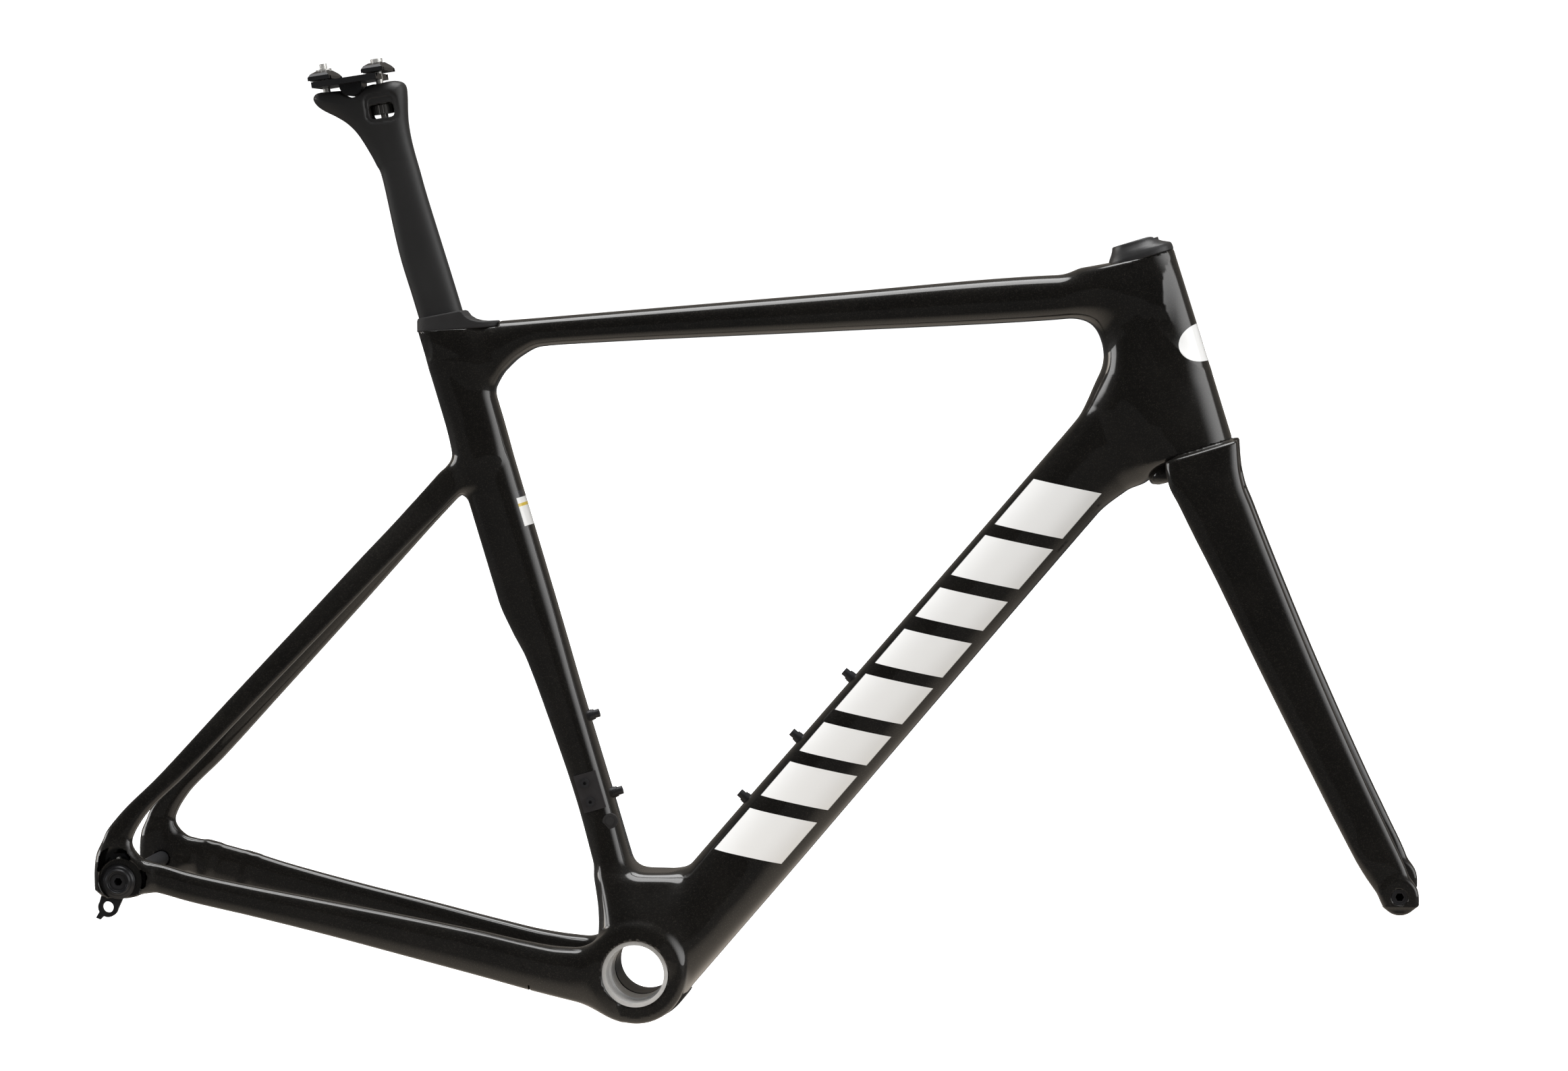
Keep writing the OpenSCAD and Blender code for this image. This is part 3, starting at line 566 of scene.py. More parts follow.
down_tube = Tube(DOWN_LINE, [
    [2, -24, 40, 0, 85], [40, -24, 40, 0, 78], [80, -24, 40, 0, 65], [130, -24, 40, 0, 53],
    [220, -23.5, 39.5, 0, 46], [510, -22.3, 38.5, 0, 43], [540, -22.3, 44, 0, 44],
    [556, -22.5, 49.5, 0, 45], [590, -29, 50, 0, 42], [606, -26, 42, 0, 37], [620, -22, 30, 0, 28],
    [634, -16, 12, 0, 14]], power=2.8, blend=24)
pedestal = Tube(UPRIGHT, [
    [0, -36, 38, 0, 85.4], [26, -33, 40, 0, 84], [48, -32, 39, 0, 73], [66, -33.5, 38, 0, 60],
    [77.5, -35, 37, 0, 50]],
    power=3.2, blend=12, rim=8)
gusset = Plate([[366, 446], [378, 472], [381, 508], [391, 514], [400, 480], [410, 434], [400, 416],
                [384, 420]], -18.5, 18.5, blend=16, rim=9)
shell = Rod((0, -42.8, 0), (0, 42.8, 0), 40, blend=4, rim=5)

# %% Bores, the recess for the boot and the socket for the post
BB_MOUTH_RADIUS, STEERER_BORE_RADIUS = 26.3, 18.5
boot_recess = Plate([[-230, 502.2], [-112.9, 509.4], [-112.9, 560], [-230, 560]], -40, 40, blend=0.6, rim=0)
post_socket = Tube(SEAT_LINE, [[304, -22.2, 15.0, 0, 23.6], [562, -22.2, 15.0, 0, 23.6]], power=3.4,
                   blend=0.6)
steerer_bore = Rod(HEAD_LINE.point(255, 0), HEAD_LINE.point(440, 0), STEERER_BORE_RADIUS, blend=0.6)
bb_mouth = Rod((0, -50, 0), (0, 50, 0), BB_MOUTH_RADIUS, blend=0.5)


def shell_arc(inner, outer, lip):
    """The outline of the cable cover: an arc under the shell whose outer radius grows by lip to the front."""
    turn = np.radians(np.linspace(-112, -27, 30))
    far = outer + lip * np.linspace(0, 1, 30) ** 2
    ring = [np.stack([np.cos(turn) * r, np.sin(turn) * r], 1) for r in (far, np.full(30, inner))]
    return np.vstack([ring[0], ring[1][::-1]])


cover_recess = Plate(shell_arc(37.4, 46, 0), -22.4, 22.4, blend=0.5, rim=0)

# %% Stays and dropouts
AXLE_X, AXLE_Z = -405.57, 72.5


def stay_pair(line, levels, **how):
    """The stay of the drive side, and its mirror image on the other side."""
    other = [[s, a, b, -y, w] for s, a, b, y, w in levels]
    return Tube(line, levels, **how), Tube(line, other, **how)


seat_stays = stay_pair(UPRIGHT, [
    [68, -420, -402, -76, 5], [80, -421.5, -400, -76, 9], [92, -421, -399, -75.5, 12],
    [108, -417.5, -394.5, -75, 13], [125, -405.5, -384.5, -73.8, 12.5], [155, -375.5, -354.5, -70, 12],
    [210, -325.8, -302.5, -58, 11.5], [280, -262, -236.5, -41, 11.5], [330, -217, -189.5, -24.8, 12],
    [350, -198.7, -170.5, -17.6, 12], [370, -181, -151, -11.2, 12], [392, -161, -130, -7.6, 12],
    [410, -143, -117, -6.6, 11.5], [430, -142, -120, -5.6, 10.5], [452, -147, -127, -4.6, 8.5],
    [474, -152, -134, -3.4, 5.5]], blend=11, slope=0.72)
chain_stay_right = Tube(LENGTHWISE, [
    [-406, 68, 80, -75.5, 5], [-396, 66.5, 85, -75.5, 9], [-386, 66, 88, -75.5, 12],
    [-376, 64, 87, -75, 13], [-350, 57, 80, -74, 14], [-300, 45.5, 69.5, -70.5, 15],
    [-240, 30.5, 58, -65, 16], [-180, 14, 46, -57.5, 17], [-120, -3, 33, -48, 18.5],
    [-85, -13.5, 24.5, -41, 21], [-60, -20.5, 20, -35.5, 24],
    [-20, -31, 18, -28.5, 22]], blend=14, slope=0.97)
chain_stay_left = Tube(LENGTHWISE, [
    [-406, 66, 80, 75.5, 5], [-396, 64, 85, 75.5, 9], [-386, 62, 89, 75.5, 12], [-370, 56, 87.5, 75, 14],
    [-350, 50, 83, 74, 14.5], [-325, 44.5, 76.5, 72.5, 14.8], [-300, 40, 69.5, 70.5, 15],
    [-240, 30.5, 55, 65, 16], [-180, 14, 42, 57.5, 17], [-120, -3, 29, 48, 18.5],
    [-85, -13.5, 22.5, 41, 21], [-60, -20.5, 20, 35.5, 24], [-20, -31, 18, 28.5, 22]], blend=14, slope=0.97)

dropout_outline = smooth_outline([[AXLE_X + x, AXLE_Z + z] for x, z in [
    [-16.6, 0], [-15.6, -8], [-11, -12.8], [0, -13.6], [10, -12.6], [19, -9], [25, -6], [27, 2], [26, 10],
    [20, 15], [15, 21], [8, 25], [0, 26.5], [-8, 25.5], [-14, 21], [-16.3, 12]]], 3)
dropouts = (Plate(dropout_outline, -82.4, -71.1, blend=8, rim=4.6),
            Plate(dropout_outline, 71.1, 82.0, blend=8, rim=4.6))
axle_holes = Rod((AXLE_X, -90, AXLE_Z), (AXLE_X, 90, AXLE_Z), 6.6)
hanger_pocket = Rod((AXLE_X + 2.2, -92, AXLE_Z + 1.5), (AXLE_X + 2.2, -79.2, AXLE_Z + 1.5), 17.2, blend=1.2)
axle_pocket = Rod((AXLE_X, 77.0, AXLE_Z), (AXLE_X, 90, AXLE_Z), 9.6, blend=1.2)
brake_line = unit(15.5)
brake_feet = [np.array([x, 75 - (x + 370) * 0.047, 59.2 - (x + 370) * 0.267]) for x in (-370, -337.2)]
brake_bosses = [Rod(foot - brake_line * 0.6, foot + brake_line * 26.2, 6.0, blend=5, rim=1)
                for foot in brake_feet]

frame_steps = [("add", seat_tube), ("add", top_tube), ("add", head_tube), ("add", down_tube),
               ("add", gusset), ("add", pedestal), ("add", shell),
               ("add", chain_stay_right), ("add", chain_stay_left),
               ("add", dropouts[0]), ("add", dropouts[1]),
               ("add", seat_stays[0]), ("add", seat_stays[1]),
               ("cut", bb_mouth), ("cut", cover_recess),
               ("add", brake_bosses[0]), ("add", brake_bosses[1]),
               ("cut", hanger_pocket), ("cut", axle_pocket), ("cut", axle_holes),
               ("cut", boot_recess), ("cut", post_socket),
               ("cut", steerer_bore)]


def behind(points):
    """True behind the joint line that crosses only the stays."""
    return points[:, 0] + 90 + 0.4167 * (points[:, 2] - 10) < 0

# %% Skin of the frame
# The stays are thinner than the main tubes, so they get a finer grid. The two skins come from one
# field, so they meet at the joint line with the same surface and the same normals.
MAIN_PITCH, STAY_PITCH = grid_pitch(2.0), grid_pitch(1.5)
frame_main = moulded("frame_main_skin", frame_steps, (-222, -56, -46), (478, 56, 580), MAIN_PITCH,
                     keep=lambda p: ~behind(p + [MAIN_PITCH + 1, 0, 0]))
frame_rear = moulded("frame_rear_skin", frame_steps, (-430, -84, -20), (-84, 84, 330), STAY_PITCH,
                     keep=lambda p: behind(p - [STAY_PITCH + 1, 0, 0]))
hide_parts("head_tube", "top_tube", "down_tube", "seat_tube", "bb_shell")
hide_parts("chain_stay_right", "chain_stay_left", "seat_stay_right", "seat_stay_left",
            "dropout_right", "dropout_left")

# %% Cable cover under the bottom bracket, and the stepped ring of the hanger
cover_arc = Plate(shell_arc(37.8, 40.2, 2.0), -22, 22, blend=0, rim=0.6)
cable_cover = moulded("bb_cable_cover_skin", [("add", cover_arc)], (-18, -24, -46), (42, 24, -12),
                      grid_pitch(0.8))
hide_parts("bb_cable_cover")


def at_axle(y_low, y_high, radius, blend=0.0, rim=0.0):
    """A round step on the rear axle."""
    return Rod((AXLE_X, y_low, AXLE_Z), (AXLE_X, y_high, AXLE_Z), radius, blend, rim)


hanger_steps = [("add", at_axle(-80.6, -78.2, 13.9, 0, 0.8)), ("add", at_axle(-81.9, -78.2, 11.6, 2.6, 0.8)),
                ("add", at_axle(-83.3, -78.2, 9.5, 1.6, 0.5)), ("cut", at_axle(-95, -82.2, 8.4, 0.4)),
                ("cut", at_axle(-95, -70, 6.9, 0.4))]
hanger_ring = moulded("derailleur_hanger_ring", hanger_steps, (AXLE_X - 16, -86, AXLE_Z - 16),
                      (AXLE_X + 16, -76, AXLE_Z + 16), grid_pitch(0.45))

# %% [markdown]
# ## The fork
# A crown that carries on the line of the head tube, two flat blades that lean outward as they go down,
# and round tips for the axle. The underside of the crown is arched to clear the tyre.

# %% Fork skin
FRONT_X, FRONT_Z = 597.43, 72.5
blade_levels = [
    [66, 586, 611.5, -56.5, 12.4], [92, 568, 603, -56.5, 13], [120, 552.6, 590, -54, 14],
    [160, 532, 571, -51, 15], [250, 486.5, 531, -44.5, 17], [315, 454.6, 504, -38.7, 18.5],
    [350, 436.5, 490, -35.5, 19.5], [372, 425.5, 481.5, -33.5, 20.5], [388, 417.4, 475.2, -31.6, 21],
    [403, 414.6, 472, -29.6, 20.5], [430, 414.8, 470, -28, 19]]
blades = [Both(blade, Below(HEAD_LINE, 267.3), 2.6, blend=7)
          for blade in stay_pair(UPRIGHT, blade_levels, power=3.4, slope=0.92)]
crown = Tube(HEAD_LINE, [
    [232, -26, 21.5, 0, 76], [245, -29, 23.6, 0, 70], [256, -31, 25, 0, 66],
    [267.3, -30, 25.0, 0, 58]], power=3, blend=0)
tail = Tube(HEAD_LINE, [
    [250.5, -41, 0, 0, 40], [253, -46, 0, 0, 43], [257, -47, 0, 0, 44],
    [267, -40.5, 0, 0, 42]], power=3.4, blend=2)
tips = [Rod((FRONT_X, a, FRONT_Z), (FRONT_X, b, FRONT_Z), 14.4, blend=5, rim=2.2)
        for a, b in ((-62.8, -50.2), (50.2, 62.8))]
arch = Rod((FRONT_X, -23.5, FRONT_Z), (FRONT_X, 23.5, FRONT_Z), 352, blend=3, rim=7)
fork_steps = [("add", crown), ("add", blades[0]), ("add", blades[1]), ("add", tail), ("cut", arch),
              ("add", tips[0]), ("add", tips[1]),
              ("cut", Rod((FRONT_X, -70, FRONT_Z), (FRONT_X, 70, FRONT_Z), 6.2)),
              ("cut", Rod(HEAD_LINE.point(252, 0), HEAD_LINE.point(280, 0), 15.9))]
fork = moulded("fork_skin", fork_steps, (388, -68, 52), (618, 68, 434), grid_pitch(1.6))
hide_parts("fork_crown", "fork_blade_right", "fork_blade_left")

# %% [markdown]
# ## The seatpost
# An oval post that leans back with the seat tube and spreads into a head. The head holds the saddle
# clamp in a round groove and has a window on each side for the tilt wheel. The window has a soft
# bevel all round, which is what catches the light.

# %% Seatpost skin
HINGE_X, HINGE_Z = -230, 700
CRADLE = Frame(-8.5, start=(HINGE_X, 0, HINGE_Z))
BOLT_REACH = 21.5
post_foot = [SEAT_LINE.point(s, u)[[0, 2]] for s, u in (
    (560, 13.9), (500, 13.9), (440, 13.9), (405, 13.9), (404, 5), (404, -12), (405, -21.1), (440, -21.1),
    (500, -21.1), (560, -21.1), (600, -21.1))]
post_outline = [list(p) for p in post_foot] + [
    [-206, 624], [-211.2, 636.5], [-217.7, 648.3], [-225.8, 660.7], [-233.6, 668.6], [-242.4, 674.2],
    [-252.6, 679.2], [-258.5, 683.4], [-261.5, 688.4], [-259.8, 692.4], [-254.5, 694.2], [-240, 695.4],
    [-224, 697.6], [-214, 700.4], [-206, 701.8], [-200, 702.9], [-195, 703.2], [-189.8, 701.8],
    [-187.2, 698], [-186.4, 690], [-186.2, 680], [-185.6, 670], [-183.6, 658], [-180.6, 646], [-176.8, 633],
    [-170, 609]]


def window_outline(half_wide, half_high, round_off, lift=0.0):
    """A rounded rectangle on the head, square to the cradle: corners are circles of round_off."""
    a = (np.arange(24) + 0.5) * math.pi / 12
    u = np.sign(np.cos(a)) * (half_wide - round_off) + round_off * np.cos(a)
    s = np.sign(np.sin(a)) * (half_high - round_off) + round_off * np.sin(a)
    centre = CRADLE.point(-21.4 + lift, BOLT_REACH)
    spots = centre + u[:, None] * CRADLE.across + s[:, None] * CRADLE.along
    return spots[:, [0, 2]]


post_widths = [[400, 10.5], [640, 10.5], [655, 11.3], [672, 12.6], [684, 13], [710, 13]]
post_steps = [
    ("add", Pillow(post_outline, post_widths, 15.5)),
    ("cut", Plate(window_outline(12.3, 11.0, 6), -20, -11.9, blend=3.0, rim=0)),
    ("cut", Plate(window_outline(12.3, 11.0, 6), 11.9, 20, blend=3.0, rim=0)),
    ("cut", Plate(window_outline(9.9, 8.2, 4.4), -20, -11.1, blend=1.0, rim=0)),
    ("cut", Plate(window_outline(9.9, 8.2, 4.4), 11.1, 20, blend=1.0, rim=0)),
    ("cut", Plate(window_outline(9.9, 5.4, 3, -2.9), -20, 20, blend=0.6, rim=0)),
    ("cut", Plate(window_outline(11.9, 8.6, 2), -9.9, 9.9, blend=0.3, rim=0)),
    ("cut", Rod(CRADLE.point(-34.4, BOLT_REACH), CRADLE.point(-26, BOLT_REACH), 5.8, blend=0.3)),
    ("cut", Rod((HINGE_X, -20, HINGE_Z), (HINGE_X, 20, HINGE_Z), 10.2, blend=1.6)),
    ("cut", Rod(CRADLE.point(-14, BOLT_REACH), CRADLE.point(10, BOLT_REACH), 4.8, blend=0.6)),
    ("cut", Rod(CRADLE.point(-18, -BOLT_REACH), CRADLE.point(10, -BOLT_REACH), 3.0, blend=0.6))]
post = moulded("seatpost_skin", post_steps, (-268, -17, 400), (-112, 17, 710), grid_pitch(1.15))
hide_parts("seatpost")

# %% [markdown]
# ## The boot and the headset cover
# The rubber boot seals the seatpost. Its top follows the post upwards to the front, then sweeps down
# in a hollow curve to a thin tongue on the top tube. The headset cover is a satin moulding that
# narrows upwards to the first spacer.

# %% Boot skin
boot_outline = [
    [-178.8, 504.2], [-178.9, 513.2], [-177.4, 515.2], [-160, 518.5], [-143, 521.8], [-141, 521.2],
    [-138, 517.4], [-134, 515], [-129, 513.7], [-124, 513.4], [-114.5, 513.9], [-112.8, 513],
    [-113.4, 509.2]]
boot_plan = Tube(Frame(0, start=(-146, 0, 480)), [[0, -33.2, 33.2, 0, 31.4], [60, -33.2, 33.2, 0, 31.4]],
                 power=2.9)
post_clear = Tube(SEAT_LINE, [[480, -21.3, 14.1, 0, 21.4], [560, -21.3, 14.1, 0, 21.4]], power=2.6, blend=0.8)
boot_steps = [("add", Both(Plate(boot_outline, -20, 20, rim=0), boot_plan, 1.1)),
              ("cut", post_clear)]
boot = moulded("seat_collar_boot_skin", boot_steps, (-184, -20, 498), (-106, 20, 526),
               grid_pitch(0.6))
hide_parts("seat_collar_boot")

# %% Headset cover skin
cover_levels = [
    [423.2, -28, 23.3, 0, 45.2], [426.5, -28.4, 23.3, 0, 44.8], [429, -27.4, 22.6, 0, 43.4],
    [431, -26, 19, 0, 41.5], [433, -24.6, 15.2, 0, 39], [435.5, -23.2, 12.6, 0, 36.5],
    [438.2, -22.2, 11.2, 0, 35]]
cover_steps = [("add", Tube(HEAD_LINE, cover_levels, power=2.5, blend=0, rim=0.9)),
               ("cut", Rod(HEAD_LINE.point(420, -2), HEAD_LINE.point(450, -2), 15.2, blend=0.8))]
cover = moulded("headset_cover_skin", cover_steps, (364, -24, 548), (424, 24, 586),
                grid_pitch(0.6))
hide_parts("headset_cover")

# %% [markdown]
# ## Finishes
# The frame is painted black with fine metal flake under a deep clear coat. Square to the eye it is
# almost black, and along the edges it mirrors the room. The post, boot and cover are satin black.

# %% Painted carbon with flake, and the graphics
def flake_paint(name):
    """Black base with metal flake under a clear coat. Each flake cell gets its own value, and the brightest
    cells lighten the base: the flakes' own lighter metal, and a painted glint.
    """
    paint = Finish(name, Metallic=0.3, Roughness=0.38, Coat_Weight=1.0, Coat_Roughness=0.04,
                   Coat_IOR=1.5, Specular_IOR_Level=0.2)
    flakes = paint.cells(0.42)
    glint = add_node(paint.tree, "ShaderNodeSeparateColor", None, {0: flakes}, 0)
    cloud = paint.noise(38, 2)
    # Painted glint: the brightest flake cells lift the base colour under any light, in place of the glint of
    # tilted flakes. With the broad cloud they also give the paint its own random tone.
    flake_tone_and_painted_glint = glint.step(0.80, 1.0) * 0.55 + cloud * 0.25
    paint.base = mix_colour(flake_tone_and_painted_glint, (0.0040, 0.0039, 0.0038, 1), (0.036, 0.032, 0.027, 1))
    paint.rough = glint * 0.16 + 0.30
    paint.orange_peel = paint.noise(7.0, 1.5)
    return paint


def along(paint, line):
    """The place of a point along and across one of the frame's lines, in millimetres."""
    shift = [float(v) for v in line.start]
    d = add_node(paint.tree, "ShaderNodeVectorMath", {"operation": "SUBTRACT"}, {0: paint.place, 1: shift})
    return tuple(add_node(paint.tree, "ShaderNodeVectorMath", {"operation": "DOT_PRODUCT"},
                          {0: d, 1: [float(v) for v in axis]}, 1) for axis in (line.along, line.across))


frame_paint = flake_paint("flake_black_frame")

# %% [markdown]
# The graphics are plain shapes: a row of slanted white bars on the down tube, a white patch round
# the head tube's nose, and a striped label on the seat tube. One number, the distance along the tube plus
# a slant, decides which bar a point is in, and a ramp with hard stops turns it into the mask.

# %% Down tube bars
BAR_STARTS = [122, 178, 226, 268, 318, 366, 410, 462]
BAR_WIDTHS = [44, 36, 30, 38, 34, 30, 40, 46]
s, u = along(frame_paint, DOWN_LINE)
slanted = (s + u * -0.55 - 80.0) / 480.0
stops = [(0.0, grey(0))]
for start, width in zip(BAR_STARTS, BAR_WIDTHS):
    stops += [((start - 80) / 480, grey(1)), ((start + width - 80) / 480, grey(0))]
bars = add_node(
    frame_paint.tree, "ShaderNodeValToRGB", {"stops": stops, "ramp_interpolation": "CONSTANT"}, {0: slanted})
bars = add_node(frame_paint.tree, "ShaderNodeSeparateColor", None, {0: bars}, 0)
inside_bar = bars * u.step(-17.6, -17.0) * u.step(30.6, 30.0) * abs(frame_paint.normal_part(1)).step(0.5, 0.6)

# %% Head badge and seat tube label
s, u = along(frame_paint, HEAD_LINE)
badge = (((s - 347.5) / 15.0) ** 2.0 + ((u - 26.0) / 20.0) ** 2.0).step(1.03, 0.99)
s, u = along(frame_paint, SEAT_LINE)
label_area = ((abs(s - 377.0)).step(14.4, 14.0) * abs(frame_paint.y).step(13.5, 13.2)
              * u.step(8.0, 8.4) * u.step(27.0, 26.0))
band = (s - 377.0).step(8.6, 9.0)
stripe = (abs(s - 380.0)).step(1.4, 1.1)
label = mix_colour(band, (0.78, 0.78, 0.77, 1), (0.02, 0.02, 0.022, 1))
label = mix_colour(stripe * frame_paint.y.step(4.0, 3.8), label, (0.62, 0.45, 0.06, 1))
white = inside_bar.most(badge)
colour = mix_colour(white, frame_paint.base, (0.86, 0.86, 0.85, 1))
colour = mix_colour(label_area, colour, label)
printed = white.most(label_area)
frame_paint.feed("Base Color", colour)
frame_paint.feed("Metallic", (1 - printed) * 0.3)
frame_paint.feed("Roughness", frame_paint.rough + printed * 0.08)
frame_paint.bump(frame_paint.orange_peel, 0.012, 0.35)

fork_paint = flake_paint("flake_black_fork")
fork_paint.feed("Base Color", fork_paint.base)
fork_paint.feed("Roughness", fork_paint.rough)
fork_paint.bump(fork_paint.orange_peel, 0.012, 0.35)

# %% Satin, rubber and plastic
satin = Finish("satin_carbon_post", Metallic=0.0, Roughness=0.5, Specular_IOR_Level=0.45)
patch = satin.noise(26, 3)
satin.feed("Base Color", mix_colour(patch, (0.0150, 0.0147, 0.0148, 1), (0.0205, 0.0201, 0.0202, 1)))
satin.feed("Roughness", satin.noise(1.6, 3) * 0.12 + 0.44)
satin.bump(satin.noise(0.55, 2), 0.02, 0.25)

rubber = Finish("boot_rubber", Metallic=0.0, Roughness=0.62, Specular_IOR_Level=0.4)
rubber.feed("Base Color", mix_colour(
    rubber.noise(14, 3), (0.016, 0.0155, 0.016, 1), (0.025, 0.0242, 0.0246, 1)))
rubber.feed("Roughness", rubber.noise(1.2, 3) * 0.18 + 0.52)
rubber.bump(rubber.noise(0.4, 2), 0.02, 0.35)

moulded_plastic = Finish("moulded_plastic", Metallic=0.0, Roughness=0.42, Specular_IOR_Level=0.5)
moulded_plastic.feed("Base Color", mix_colour(
    moulded_plastic.noise(9, 3), (0.014, 0.014, 0.0145, 1), (0.023, 0.0225, 0.023, 1)))
moulded_plastic.feed("Roughness", moulded_plastic.noise(0.9, 2) * 0.14 + 0.36)
moulded_plastic.bump(moulded_plastic.noise(0.35, 2), 0.015, 0.3)

# %% Metals
def anodised(name, dark, light, rough):
    """Bead blasted and dyed aluminium: fine grain, slightly lighter where it is handled."""
    metal = Finish(name, Metallic=0.55, Roughness=rough)
    metal.feed("Base Color", mix_colour(metal.noise(6, 4), dark, light))
    metal.feed("Roughness", metal.noise(0.8, 3) * 0.14 + (rough - 0.07))
    metal.bump(metal.noise(0.25, 2), 0.01, 0.3)
    return metal


black_alloy = anodised("black_anodised", (0.028, 0.028, 0.030, 1), (0.046, 0.046, 0.049, 1), 0.36)
satin_black_alloy = anodised(
    "satin_black_anodised", (0.020, 0.020, 0.0215, 1), (0.034, 0.034, 0.036, 1), 0.30)


def turned(name, colour, shade, rough):
    """Machined on a lathe: fine rings about the Y axis, worked out from the distance to the centre."""
    metal = Finish(name, Metallic=0.45, Roughness=rough)
    sideways_off = {0: metal.place, 1: (1, 0, 1)}
    flat = add_node(metal.tree, "ShaderNodeVectorMath", {"operation": "MULTIPLY"}, sideways_off)
    radius = add_node(metal.tree, "ShaderNodeVectorMath", {"operation": "LENGTH"}, {0: flat}, 1)
    rings = add_node(metal.tree, "ShaderNodeMath", {"operation": "SINE"}, {0: radius * 20.0 + metal.y * 14.0})
    metal.feed("Base Color", mix_colour(metal.noise(3.5, 4), shade, colour))
    metal.feed("Roughness", metal.noise(0.5, 3) * 0.16 + (rough - 0.06) + rings * 0.03)
    metal.bump(rings * 0.5 + 0.5, 0.012, 0.4)
    return metal


silver = turned("turned_silver", (0.80, 0.80, 0.79, 1), (0.60, 0.60, 0.60, 1), 0.34)
steel = turned("bright_steel", (0.66, 0.65, 0.62, 1), (0.50, 0.49, 0.47, 1), 0.26)
dark_steel = anodised("dark_steel", (0.045, 0.044, 0.042, 1), (0.085, 0.082, 0.078, 1), 0.32)

bracket_grey = anodised("bracket_grey", (0.040, 0.038, 0.040, 1), (0.058, 0.055, 0.057, 1), 0.42)

SLOT_FINISH = {
    "gloss_carbon": fork_paint, "satin_carbon": satin, "satin_plastic": moulded_plastic,
    "black_rubber": rubber, "satin_black_alloy": satin_black_alloy, "black_alloy": black_alloy,
    "silver_alloy": silver, "bright_steel": steel, "dark_steel": dark_steel}

# %% Finishes onto the pieces
for piece, body, slot_name, finish in (
        (frame_main, "frame", "gloss_carbon", frame_paint),
        (frame_rear, "frame", "gloss_carbon", frame_paint),
        (fork, "fork", "gloss_carbon", fork_paint), (post, "post", "satin_carbon", satin),
        (boot, "frame", "black_rubber", rubber), (cover, "frame", "satin_plastic", moulded_plastic),
        (cable_cover, "frame", "satin_plastic", moulded_plastic),
        (hanger_ring, "frame", "satin_black_alloy", satin_black_alloy)):
    piece.data.materials.append(finish.material)
    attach(piece, body)

# %% [markdown]
# ## Small parts
# The screws, rings, bearings, clamps and axles keep their CAD shapes, which are exact. Each one takes the
# finish of its material slot in the record, but the far bottom-bracket sleeve is painted shade, drawn black
# anodised, and the front derailleur plate has its own grey.

# %% Finishes onto the CAD pieces
# Painted shade: the far bottom-bracket sleeve, seen down the bore, is drawn black anodised in place of its
# slot's finish. The front derailleur plate takes its own grey.
own_finish_and_painted_shade = {"bb_sleeve_left": black_alloy, "front_derailleur_plate": bracket_grey}
for part in frame["record"]["subparts"]:
    node = NODES.get(part["node"])
    if node is None or node.hide_render:
        continue
    finish = own_finish_and_painted_shade.get(part["node"], SLOT_FINISH[part["material_slot"]])
    node.data.materials.clear()
    node.data.materials.append(finish.material)
print("CAD pieces shown:", sum(not n.hide_render for n in NODES.values()))

# %% [markdown]
# ## Floor and light
# A wide pale floor below the frame and a white room. The room is bright above, at the ends and behind,
# and dim on the side the camera looks from, so flat sides stay black and edges carry clean highlights.

# %% Floor
FLOOR_Z, FLOOR_RADIUS = -268.0, 30000.0
turn = np.linspace(0, 2 * math.pi, 97)[:-1]
rim_points = np.stack([FLOOR_RADIUS * np.cos(turn), FLOOR_RADIUS * np.sin(turn), np.full(96, FLOOR_Z)], 1)
spokes = np.vstack([rim_points, [[0, 0, FLOOR_Z]]])
fan = np.stack([np.arange(96), (np.arange(96) + 1) % 96, np.full(96, 96)], 1)
floor = mesh_piece("studio_floor", spokes, fan, smooth=False)
floor_finish = Finish("studio_floor_white", Roughness=0.9, Specular_IOR_Level=0.2)
floor_white = mix_colour(floor_finish.noise(900, 2), (0.90, 0.90, 0.90, 1), (0.93, 0.93, 0.93, 1))
seen_directly = add_node(floor_finish.tree, "ShaderNodeLightPath", output=0)
reach = ((floor_finish.x - 100.0) ** 2.0 + floor_finish.y ** 2.0) ** 0.5
# Painted light: to every ray but the camera's, the floor is drawn dark and glows with a painted warm pool of
# light round the frame, which the undersides show as a painted reflection. The camera sees the floor evenly
# white.
painted_floor_glow = mix_colour(reach.step(1500, 150), (0.012, 0.011, 0.010, 1), (1.0, 0.88, 0.74, 1))
floor_finish.feed("Emission Color", mix_colour(seen_directly, painted_floor_glow, (1, 1, 1, 1)))
floor_finish.feed("Base Color", mix_colour(seen_directly, (0.04, 0.04, 0.04, 1), floor_white))
floor_finish.shader.inputs["Emission Strength"].default_value = 0.8
floor.data.materials.append(floor_finish.material)

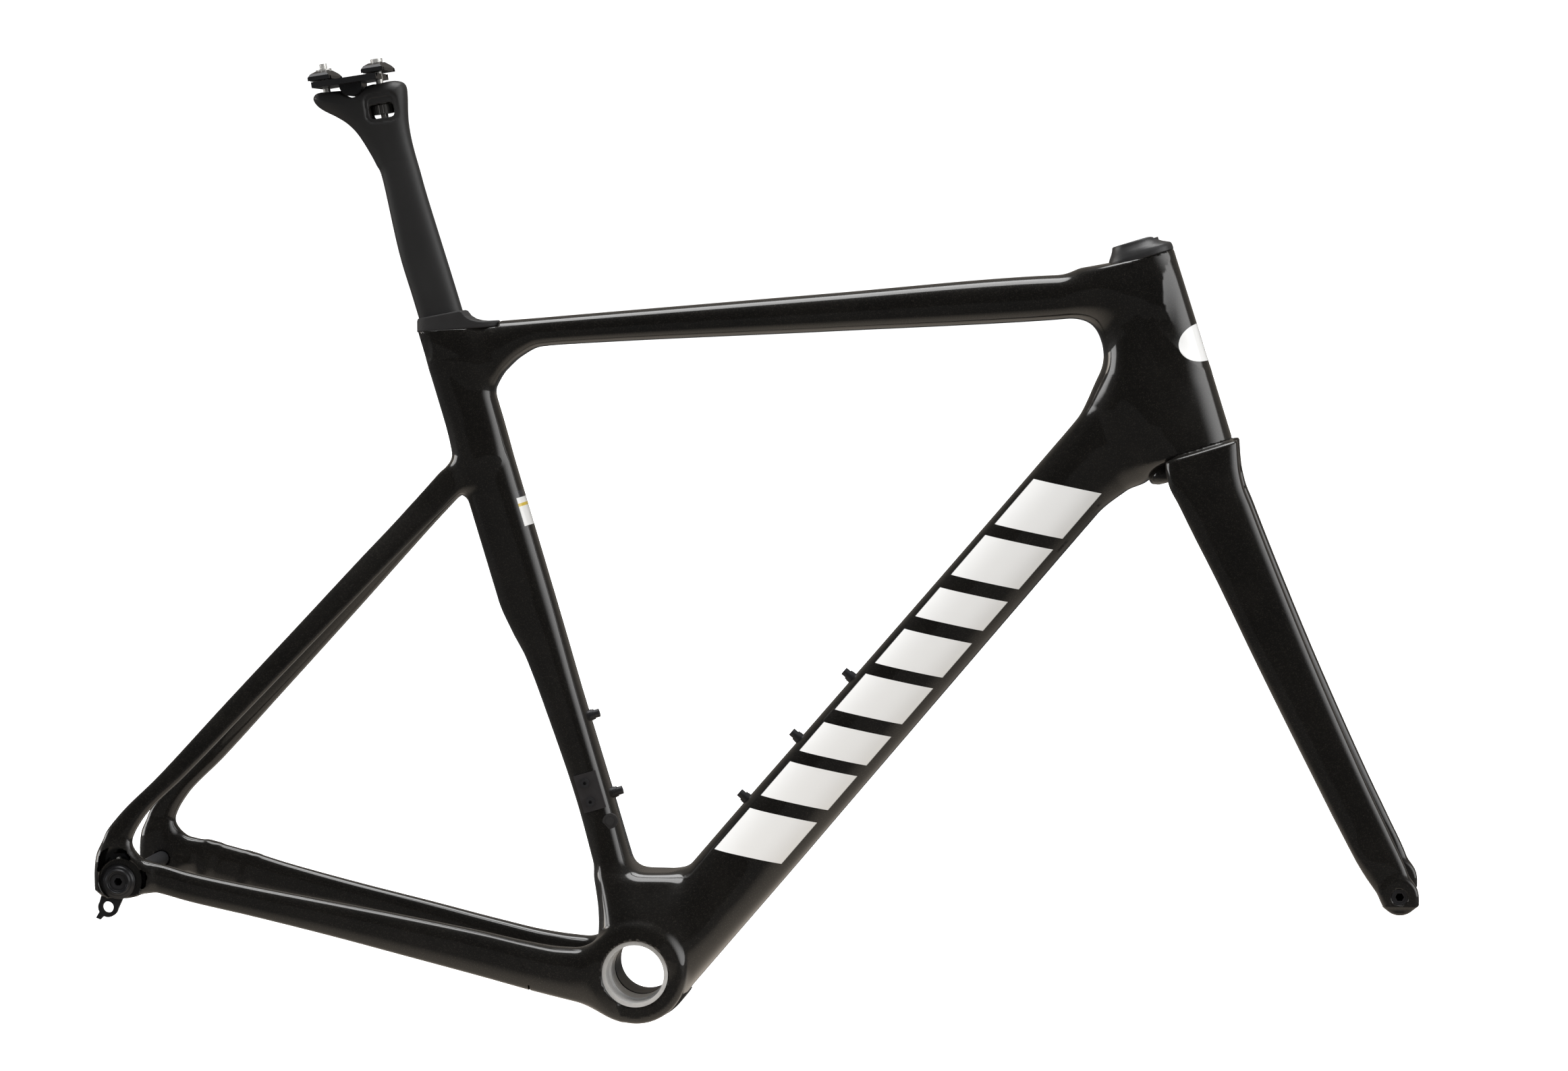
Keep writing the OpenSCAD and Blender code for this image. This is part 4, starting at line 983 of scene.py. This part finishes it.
# %% Room
world = bpy.data.worlds.new("studio_room")
bpy.context.scene.world = world
world.use_nodes = True
room = world.node_tree
direction = add_node(room, "ShaderNodeTexCoord", output=0)
toward = add_node(room, "ShaderNodeSeparateXYZ", None, {0: direction}, 1)
upward = add_node(room, "ShaderNodeSeparateXYZ", None, {0: direction}, 2)
sideways = add_node(room, "ShaderNodeSeparateXYZ", None, {0: direction}, 0)
overhead = upward.step(0.875, 0.925) * 6.5
right_bank = sideways.step(0.40, 0.97) * toward.step(0.22, 0.0) * abs(upward).step(0.75, 0.45) * 3.4
left_strip = (0 - sideways).step(0.90, 0.95) * toward.step(0.45, 0.2) * 5.0
backdrop = toward.step(-0.02, 0.45) * 0.16
path = add_node(room, "ShaderNodeLightPath", output=0)
spread = add_node(room, "ShaderNodeLightPath", output=2)
mirrored = overhead.most(right_bank).most(left_strip).most(backdrop) + 0.004
strength = mirrored * (1 - path) * (1 - spread) + spread * 0.42 + path * 1.25
background = room.nodes["Background"]
room.links.new(strength.socket, background.inputs["Strength"])
warm = backdrop.step(0.0, 0.1) * (1 - overhead.least(1.0)) * (1 - path) * (1 - spread)
room.links.new(mix_colour(warm, (1, 1, 1, 1), (1.0, 0.90, 0.79, 1)).socket, background.inputs["Color"])


# %% Softboxes
def softbox(name, place, target, wide, high, watts):
    """A white area light at place that faces target. Reflections show the drawn room in its stead."""
    light = bpy.data.lights.new(name, "AREA")
    light.shape, light.size, light.size_y, light.energy = "RECTANGLE", wide, high, watts
    holder = bpy.data.objects.new(name, light)
    bpy.context.scene.collection.objects.link(holder)
    holder.location = place
    holder.rotation_euler = (Vector(target) - Vector(place)).to_track_quat("-Z", "Y").to_euler()
    holder.visible_glossy = False


softbox("overhead_softbox", (0.1, -0.5, 2.4), (0.1, 0, 0.3), 2.6, 0.7, 26)
softbox("right_strip", (2.3, -1.5, 0.7), (0.3, 0, 0.3), 0.35, 1.8, 22)
softbox("left_strip", (-2.3, -1.2, 0.7), (-0.2, 0, 0.3), 0.3, 1.8, 18)

# %% Exposure and the last step
bpy.context.scene.view_settings.view_transform = "Standard"
bpy.context.scene.view_settings.look = "None"
